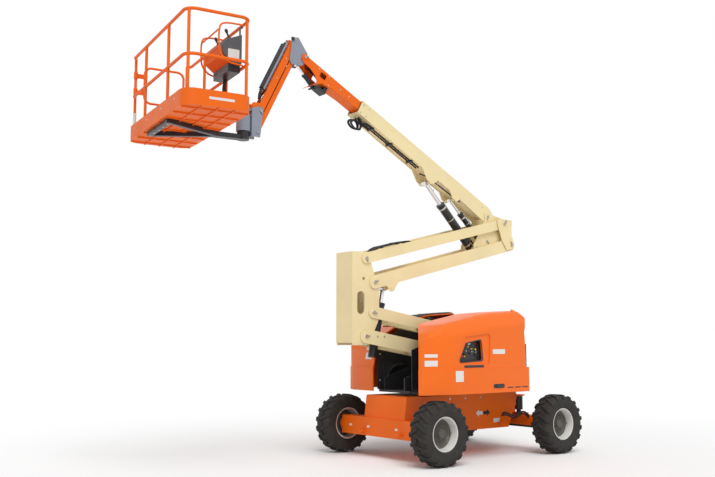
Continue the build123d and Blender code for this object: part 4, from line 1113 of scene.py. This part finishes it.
def pin_end(piece, x, z, side, y, r, way):
    out = (0, side, 0)
    piece.turned([(0.0, 0.0), (r, 0.0), (r, 0.005), (r - 0.003, 0.008), (r * 0.45, 0.008), (r * 0.4, 0.005),
                  (0.0, 0.005)], at((x, side * y, z), out), 26)
    if r > SMALL_PIN:
        c, s = math.cos(math.radians(way)), math.sin(math.radians(way))
        piece.prism(oblong(r * 0.55, r + 0.030, -0.010, 0.010, 0.006), 0.0082, 0.0132,
                    framed((x, side * y, z), (c, 0, s), out, (-s, 0, c)))
        piece.bolt((x + c * (r + 0.018), side * (y + 0.0132), z + s * (r + 0.018)), out, 0.007)

rows = [((JOINTS[j].x, JOINTS[j].z), *rest) for j, *rest in KEEPERS] + list(MORE_PINS)
pins = {}
for (x, z), body, y, r, way in rows:
    piece = pins.setdefault(body, Piece("pins_" + body, pin_steel, body, 0.0012))
    for side in LEFT_RIGHT:
        pin_end(piece, x, z, side, y, r, way)
for piece in pins.values():
    piece.done()

# %% [markdown]
# The upright is a box with a long slot and a small hole through it. Painting a dark patch would not
# show what lies behind, so a copy of the solid is cut and shown in its place.

# %% Upright's slot
foot = JOINTS["upright_pivot"]
slot = [(foot.x + x, foot.z + z, 0.058) for x, z in ((0.148, -0.028), (0.270, -0.028), (0.270, 0.277),
                                                     (0.148, 0.277))]
hole = [(foot.x + 0.159 + x, foot.z + 0.449 + z) for x, z in ring(20, 0.022)]
base = bpy.data.objects.new("base", frame["nodes"]["upright"].data.copy())
bpy.context.scene.collection.objects.link(base)
mesh = combine(base, [("DIFFERENCE", tool(rounded(*slot), -0.3, 0.3)), ("DIFFERENCE", tool(hole, -0.3, 0.3))])
show("upright_cut", mesh, cream, "upright", 0.003, ["upright"], crease=30, segments=3, limit=50)
print("upright cut")

# %% [markdown]
# The fly section is a box of thin plates: two sides with a cut-away nose and a window, a lid and a
# belly. It is drawn along the boom, in the boom's own tilted place. The nose is drawn from its
# corners, as a plate cutter would, and the window is cut with a boolean.

# %% Fly section
BOOM = tilted(JOINTS["boom_lift"], 27.3)
FLY_REAR, FLY_TOP, FLY_LOW, FLY_IN, FLY_OUT = 0.30, 0.123, -0.001, 0.088, 0.098
BELLY = ((FLY_REAR, FLY_LOW), (3.064, FLY_LOW), (3.300, -0.023), (3.478, -0.063), (3.560, -0.135))
NOSE = ((3.605, -0.191), (3.612, -0.193), (3.556, -0.112), (3.553, -0.092), (3.565, -0.071), (3.626, -0.028),
        (3.692, -0.002), (3.751, 0.012), (3.841, 0.013), (3.868, 0.020), (3.897, 0.045), (3.905, 0.065),
        (3.905, 0.108), (3.893, 0.120), (3.880, FLY_TOP))
FLY_WINDOW = ((3.453, 0.005, 0.014), (3.557, 0.005, 0.014), (3.557, 0.082, 0.014), (3.453, 0.082, 0.014))

rest = Piece("fly_plates", orange, "fly", 0.0)
for name, side, (y0, y1) in zip(("left", "right"), LEFT_RIGHT, both(FLY_IN, FLY_OUT)):
    mesh = combine(tool([(FLY_REAR, FLY_TOP), *BELLY, *NOSE], y0, y1, BOOM),
                   [("DIFFERENCE", tool(rounded(*FLY_WINDOW), -0.2, 0.2, BOOM))])
    show("fly_plate_" + name, mesh, orange, "fly", 0.002, ["boom_fly"] if side > 0 else (), segments=3, limit=50)
    rest.turned(disc(0.040, 0.0, 0.005), BOOM @ at((3.857, side * FLY_OUT, 0.091), (0, side, 0)), 30)
rest.block((FLY_REAR, -FLY_IN, FLY_TOP - 0.008), (3.76, FLY_IN, FLY_TOP), BOOM)
belly = [*BELLY, (3.600, -0.186)]
rest.prism(belly + [(u, w + 0.008) for u, w in reversed(belly)], -FLY_IN, FLY_IN, BOOM)
rest.done()
print("fly plates made")

# %% [markdown]
# In the nose are a dark pad with its roller and the hoses that pass through to the jib; bolts dot
# both sides. Each hose could be drawn alone, but one path spread a little wider towards its end
# makes all four.

# %% Fly fittings
pad = Piece("fly_pads", plate_dark, "fly", 0.004)
pad.block((3.345, -0.060, -0.110), (3.40, 0.060, -0.030), BOOM)
pad.block((3.345, -0.070, -0.138), (3.500, 0.070, -0.108), BOOM)
pad.turned(disc(0.013, -0.099, 0.099), BOOM @ at((3.520, 0, -0.140), (0, 1, 0)), 24)
pad.done()
bolts = Piece("fly_bolts", zinc, "fly", 0.0)
for u, w in ((3.42, 0.10), (3.60, 0.09), (3.38, -0.02), (3.18, 0.06), (3.02, 0.06)):
    for side in LEFT_RIGHT:
        bolts.bolt((u, side * FLY_OUT, w), (0, side, 0), 0.007, BOOM)
bolts.done()
hoses = Piece("fly_hoses", hose_rubber, "fly", 0.0)
for y in (-0.045, -0.020, 0.020, 0.045):
    hoses.pipe([(3.30, y, 0.02), (3.42, y, 0.015), (3.54, y, 0.045), (3.64, y * 1.2, 0.065),
                (3.72, y * 1.3, 0.06)], 0.010, BOOM)
hoses.done()
print("fly dressed")

# %% [markdown]
# Where the fly slides out, the hoses hang in a loop that gives them the length to follow. They
# could all hang alike, but four that differ a little look laid by hand.

# %% Boom hoses
BOOM_SIDE, WEAR_PADS = 0.120, (0.101, 0.118)

hoses = Piece("boom_loop", hose_rubber, "boom", 0.0)
for i, y in enumerate((-0.050, -0.022, 0.030, 0.055)):
    k = 0.012 * i
    hoses.pipe([(2.44, y, -0.058), (2.56, y, -0.070), (2.68, y, -0.086 - k), (2.78, y + 0.01, -0.125 - k),
                (2.80, y + 0.012, -0.185 - k), (2.72, y + 0.01, -0.215 - k), (2.63, y, -0.175 - k),
                (2.64, y - 0.01, -0.110), (2.72, y - 0.01, -0.066)], 0.011, BOOM)
hoses.pipe([(0.55, 0.06, -0.075), (0.9, 0.06, -0.085), (1.25, 0.058, -0.10), (1.42, 0.056, -0.14)], 0.010, BOOM)
for y, end in ((-0.02, -0.022), (0.03, 0.030)):
    hoses.pipe([(1.46, y, -0.056), (1.9, y, -0.060), (2.44, end, -0.058)], 0.011, BOOM)
hoses.done()
print("boom hoses hung")

# %% [markdown]
# Clamps hold the hoses under the boom, wear pads guide the fly at its mouth, and bolts hold both.
# Drawn in the machine's frame each would need the boom's tilt; in the boom's place all are level.

# %% Boom clamps and bolts
dark = Piece("boom_dark", plate_dark, "boom", 0.002)
for u in (1.62, 2.05, 2.43):
    dark.block((u, -0.06, -0.078), (u + 0.03, 0.07, -0.0505), BOOM)
for y0, y1 in both(*WEAR_PADS):
    dark.block((2.805, y0, -0.035), (2.812, y1, 0.128), BOOM)
dark.done()
bolts = Piece("boom_bolts", zinc, "boom", 0.0)
for side in LEFT_RIGHT:
    for u, w in ((2.66, -0.02), (2.66, 0.105), (2.76, -0.02), (2.76, 0.105)):
        bolts.bolt((u, side * BOOM_SIDE, w), (0, side, 0), 0.008, BOOM)
    for u, w in ((1.10, -0.12), (0.95, -0.09), (0.15, 0.08), (0.60, -0.07)):
        bolts.bolt((u, side * BOOM_SIDE, w), (0, side, 0), 0.007, BOOM)
    for u in (2.62, 2.70, 2.78):
        bolts.bolt((u, side * 0.05, 0.145), (0, 0, 1), 0.008, BOOM)
bolts.done()
print("boom dressed")

# %% [markdown]
# A cylinder has a hard pipe along its barrel, held by two wide bands and two narrow ones, and two
# short hoses at its foot. The barrel's place comes from its joint and the way it strokes, so one
# recipe fits the three.

# %% Cylinders
CYLINDERS = (
    # barrel, its joint, the stroke's joint, barrel radius, length
    ("lift_barrel", "lift_pivot", "lift_stroke", 0.058, 0.90),
    ("level_barrel", "level_pivot", "level_stroke", 0.040, 0.60),
    ("jib_barrel", "jib_pivot", "jib_stroke", 0.032, 0.80),
)
GAP = 0.0002


def dress_cylinder(barrel, place, radius, length):
    steel = Piece(barrel + "_pipes", zinc, barrel, 0.0)
    r = radius + 0.010
    steel.pipe([(0, r * 0.9, 0.10), (0, r + 0.012, 0.12), (0, r + 0.012, length * 0.5), (0, r + 0.012, length - 0.10),
                (0, r * 0.9, length - 0.08)], 0.006, place)
    for h, thick, half in ((0.09, 0.004, 0.012), (length - 0.09, 0.004, 0.012), (length * 0.35, 0.0025, 0.006),
                           (length * 0.65, 0.0025, 0.006)):
        steel.turned(band(radius + GAP, radius + thick, h - half, h + half), place, 32)
    steel.done()
    hoses = Piece(barrel + "_hoses", hose_rubber, barrel, 0.0)
    for x in (-0.014, 0.014):
        hoses.pipe([(x, r + 0.004, 0.16), (x, r + 0.022, 0.12), (x, r + 0.024, 0.05), (x * 2, r, 0.0)], 0.008, place)
    hoses.done()


axes = {j["name"]: Vector(j["axis"]) for j in frame["joints"]}
for barrel, joint, stroke, radius, length in CYLINDERS:
    dress_cylinder(barrel, at(JOINTS[joint], axes[stroke]), radius, length)
print("cylinders dressed:", len(CYLINDERS))

# %% [markdown]
# A bundle of hoses climbs inside the upright, bends over and lies along the upper link. A hose that
# crossed a joint would stretch when it moves, so the bundle is parted there and each half rides its
# own body.

# %% Tower hoses
link, foot = tilted(JOINTS["upper_link_pivot"], -14.23), JOINTS["upright_pivot"]
run = Piece("link_hoses", hose_rubber, "upper_link", 0.0)
for i, y in enumerate((-0.075, -0.045, -0.015, 0.015, 0.045, 0.075)):
    run.pipe([(-0.22, y, 0.03 + 0.003 * i), (-0.34, y, 0.088), (-0.60, y, 0.092), (-0.80, y, 0.088),
              (-0.92, y, 0.070), (-0.98, y, 0.03)], 0.012, link)
run.done()
clamps = Piece("link_clamps", plate_dark, "upper_link", 0.001)
for u in (-0.42, -0.72):
    clamps.block((u, -0.094, 0.0735), (u + 0.035, 0.094, 0.106), link)
clamps.done()
rise = Piece("upright_hoses", hose_rubber, "upright", 0.0)
for i, y in enumerate((-0.062, -0.036, -0.010, 0.016, 0.042, 0.068)):
    k = 0.010 * (i % 3)
    rise.pipe([(foot.x + x, y, foot.z + z) for x, z in (
        (0.10 + k, -0.32), (0.17 + k, -0.05), (0.19 + k, 0.25), (0.15 + k, 0.52), (0.02, 0.70),
        (-0.085, 0.79 + k))], 0.012)
rise.done()
print("tower hoses laid")

# %% [markdown]
# ## Jib and platform
# A chain of plastic links lies in a tray on the jib and carries its hoses. The links are the same
# block repeated, so a loop lays them. An array modifier would too, but not as part of one mesh.

# %% Jib chain
JIB = tilted(JOINTS["jib_lift"], -63.0)

chain = Piece("jib_chain", plate_dark, "jib_arm", 0.002)
for i in range(24):
    u = 0.10 + 0.031 * i
    for y0, y1 in both(0.034, 0.046):
        chain.block((u, y0, 0.076), (u + 0.026, y1, 0.116), JIB)
    chain.block((u + 0.006, -0.034, 0.104), (u + 0.020, 0.034, 0.112), JIB)
chain.done()
tray = Piece("jib_tray", grey, "jib_arm", 0.001)
tray.block((0.09, -0.052, 0.0705), (0.86, 0.052, 0.0745), JIB)
for y0, y1 in both(0.048, 0.052):
    tray.block((0.09, y0, 0.0745), (0.86, y1, 0.098), JIB)
tray.done()
hoses = Piece("jib_hoses", hose_rubber, "jib_arm", 0.0)
for y in (-0.022, 0.0, 0.022):
    hoses.pipe([(0.11, y, 0.092), (0.45, y, 0.093), (0.84, y, 0.092), (0.92, y, 0.085), (0.99, y, 0.060)],
               0.0095, JIB)
hoses.done()
print("jib chain laid")

# %% [markdown]
# Two ears close the jib's low end, a knob sits on the knuckle, and hoses loop over to the platform.
# The real ears are cut from plate, so an outline pushed through its thickness is all they need.

# %% Jib fittings
EAR = ((1.060, 0.030), (1.105, 0.120), (1.127, 0.142), (1.150, 0.138), (1.169, 0.124), (1.190, 0.098),
       (1.198, 0.071), (1.192, 0.006), (1.10, -0.020))

ears, bolts = Piece("jib_ears", orange, "jib_arm", 0.002), Piece("jib_bolts", zinc, "jib_arm", 0.0)
for side, (y0, y1) in zip(LEFT_RIGHT, both(0.0535, 0.0615)):
    ears.prism(EAR, y0, y1, JIB)
    for u in (0.30, 0.62):
        bolts.bolt((u, side * 0.0625, 0.0), (0, side, 0), 0.006, JIB)
ears.done()
bolts.done()
knob = Piece("jib_knob", plate_dark, "knuckle", 0.001)
knob.turned(cap(0.026, 0.012, 0.020, 0.020), at((2.850, 0.0815, 5.566), (0, 1, 0))).done()
loops = Piece("end_hoses", hose_rubber, "jib_end", 0.0)
for i, y in enumerate((-0.05, -0.02, 0.02, 0.05)):
    loops.pipe([(3.395 + 0.006 * i, y, 4.520), (3.44, y * 1.3, 4.505), (3.50, y * 1.5, 4.455),
                (3.525, y * 1.6, 4.40), (3.53, y * 1.5, 4.345)], 0.009)
loops.done()
print("jib dressed")

# %% [markdown]
# The platform stands turned on its rotator, so all of it is drawn in one turned place. The console
# is a wedge-shaped box that hangs on the top rail by two brackets, with a sheet on its slope.

# %% Console shell
DECK = yawed((JOINTS["platform_rotate"].x, 0, 0), -8.4)
LID = DECK @ tilted((0.388, 0, 5.1505), -23.0)
SHELL = ((0.388, 4.800), (0.500, 4.800), (0.620, 4.895), (0.632, 4.990), (0.600, 5.060), (0.388, 5.150))
FRONT = ((0.500, 4.793), (0.628, 4.893), (0.641, 4.990), (0.633, 4.992), (0.620, 4.897), (0.496, 4.799))

box = Piece("console_shell", console_plastic, "platform", 0.010).prism(SHELL, 0.310, 0.885, DECK)
for y in (0.372, 0.822):
    box.block((0.386, y - 0.02, 5.12), (0.396, y + 0.02, 5.248), DECK)
    box.block((0.360, y - 0.02, 5.246), (0.396, y + 0.02, 5.2605), DECK)
box.done(replaces=["control_console"])
Piece("console_front", orange, "platform", 0.001).prism(FRONT, 0.330, 0.865, DECK).done()
label = Piece("console_labels", plate_white, "platform", 0.0)
label.prism(oblong(0.420, 0.560, 4.855, 4.960, 0.008), 0.885, 0.8865, DECK)
label.block((0.030, 0.565, 0.0042), (0.060, 0.640, 0.0056), LID).done()
print("console shell made")

# %% [markdown]
# On the lid are two joysticks with rubber boots, a row of switches and a round stop button. Each is
# a turned profile: the boot narrows in steps up to the stick and its grip.

# %% Console controls
STICK = ((0.0, 0.0), (0.040, 0.0), (0.034, 0.010), (0.026, 0.014), (0.022, 0.026), (0.012, 0.034), (0.010, 0.080),
         (0.018, 0.092), (0.019, 0.120), (0.012, 0.132), (0.0, 0.134))
SWITCH = ((0.0, 0.0), (0.008, 0.0), (0.008, 0.006), (0.004, 0.008), (0.003, 0.022), (0.0, 0.023))
STOP = ((0.0, 0.0), (0.012, 0.0), (0.012, 0.012), (0.022, 0.014), (0.022, 0.026), (0.0, 0.030))
LID_THICK = 0.004

dark = Piece("console_dark", plate_dark, "platform", 0.004)
dark.block((0.390, 0.360, 4.705), (0.540, 0.840, 4.802), DECK)
dark.block((0.020, 0.330, 0.0), (0.215, 0.865, LID_THICK), LID)
for y in (0.420, 0.760):
    dark.turned(STICK, LID @ at((0.115, y, LID_THICK)), 28)
for i in range(6):
    dark.turned(SWITCH, LID @ at((0.165 if i % 2 else 0.075, 0.500 + 0.034 * i, LID_THICK)), 18)
dark.done()
stop = Piece("console_stop", red_plastic, "platform", 0.001)
stop.turned(STOP, LID @ at((0.120, 0.590, LID_THICK)), 26).done()
print("console controls made")

# %% [markdown]
# Bent tubes guard the console, and its leads hang down to the deck. Both are pipes through a few
# points: the curve between the points gives a tube its bends and a lead its sag.

# %% Console guard and leads
hoops = Piece("console_guard", orange, "platform", 0.0)
for y in (0.297, 0.898):
    hoops.pipe([(0.383, y, 5.262), (0.560, y, 5.258), (0.650, y, 5.230), (0.676, y, 5.150), (0.676, y, 4.980),
                (0.650, y, 4.880), (0.560, y, 4.800), (0.383, y, 4.775)], 0.0105, DECK)
for z in (5.170, 4.960):
    hoops.pipe([(0.676, y, z) for y in (0.297, 0.45, 0.75, 0.898)], 0.0095, DECK)
hoops.done()
lead = Piece("console_leads", hose_rubber, "platform", 0.0)
for y in (0.43, 0.47, 0.51):
    lead.pipe([(0.43, y, 4.708), (0.43, y - 0.03, 4.62), (0.40, y - 0.12, 4.48), (0.395, y - 0.22, 4.38),
               (0.400, y - 0.30, 4.30), (0.40, y - 0.34, 4.222)], 0.009, DECK)
lead.done()
print("console dressed")

# %% [markdown]
# The deck shows ribs below, a foot under every post, sleeves and a blank plate. Posts repeat round
# the edge, so their places are a list built from the rails' own sizes.

# %% Deck
RAIL_BACK, RAIL_FAR, RAIL_END, CORNER, FLOOR_TOP = 0.363, 1.127, 1.092, 0.0357, 4.218
IN_BACK, IN_FAR, IN_END = RAIL_BACK + CORNER, RAIL_FAR - CORNER, RAIL_END - CORNER
POSTS = ((IN_FAR, -IN_END), (RAIL_FAR, -0.452), (RAIL_FAR, 0.452), (IN_FAR, IN_END), (IN_BACK, IN_END),
         (RAIL_BACK, 0.332), (RAIL_BACK, -0.452), (IN_BACK, -IN_END))
RIB_LOW, RIB_TOP, RIB_HALF = 4.1640, 4.1805, 0.006

ribs = Piece("floor_ribs", orange, "platform", 0.0)
for y in (-1.00, -0.72, -0.44, -0.15, 0.15, 0.44, 0.72, 1.00):
    ribs.block((0.350, y - RIB_HALF, RIB_LOW), (1.140, y + RIB_HALF, RIB_TOP), DECK)
for x in (0.55, 0.745, 0.94):
    ribs.block((x - RIB_HALF, -1.095, RIB_LOW), (x + RIB_HALF, 1.095, RIB_TOP), DECK)
ribs.done()
white = Piece("deck_plates", plate_white, "platform", 0.0)
white.prism(oblong(0.560, 0.860, 4.262, 4.292, 0.005), 1.1200, 1.1212, DECK)
for x in (IN_BACK, IN_FAR):
    white.turned(band(0.0185, 0.0215, 4.40, 4.56), DECK @ at((x, -IN_END, 0)), 24)
white.done()
feet = Piece("post_feet", orange, "platform", 0.0008)
for x, y in POSTS:
    feet.turned(cap(0.0275, 0.008, 0.020, 0.016), DECK @ at((x, y, FLOOR_TOP)), 24)
feet.done()
print("deck dressed")

# %% [markdown]
# A foot pedal under a guard lets the machine move only while it is held down. Its treadle and the
# guard's cheeks could be blocks, but a side view pushed across gives them their slopes. Bolts
# finish the toe boards and the rotator's plate.

# %% Pedal and deck bolts
z = FLOOR_TOP
pedal = Piece("foot_pedal", plate_dark, "platform", 0.003)
pedal.block((0.583, 0.120, z), (0.743, 0.320, z + 0.022), DECK)
pedal.prism([(0.590, z + 0.020), (0.720, z + 0.020), (0.728, z + 0.040), (0.600, z + 0.066)], 0.150, 0.290, DECK)
for y in (0.128, 0.306):
    pedal.prism([(0.583, z + 0.02), (0.743, z + 0.02), (0.700, z + 0.094), (0.610, z + 0.094)], y, y + 0.006, DECK)
pedal.block((0.600, 0.128, z + 0.086), (0.700, 0.312, z + 0.092), DECK)
pedal.done(replaces=["foot_switch"])
bolts = Piece("deck_bolts", zinc, "platform", 0.0)
for y in (-0.80, -0.30, 0.30, 0.80):
    for x, way in ((0.335, -1), (1.155, 1)):
        bolts.bolt((x, y, 4.300), (way, 0, 0), 0.008, DECK)
for y in (-0.34, -0.17, 0.0, 0.17, 0.34):
    bolts.bolt((1.080, y, 4.1210), (0, 0, -1), 0.009, DECK)
bolts.done()
print("pedal and deck bolts made")

# %% [markdown]
# ## The end
# The bounds of the dressed machine are measured, and the pieces are counted.

# %% Finish
low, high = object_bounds()
print("pieces:", len(PIECES))
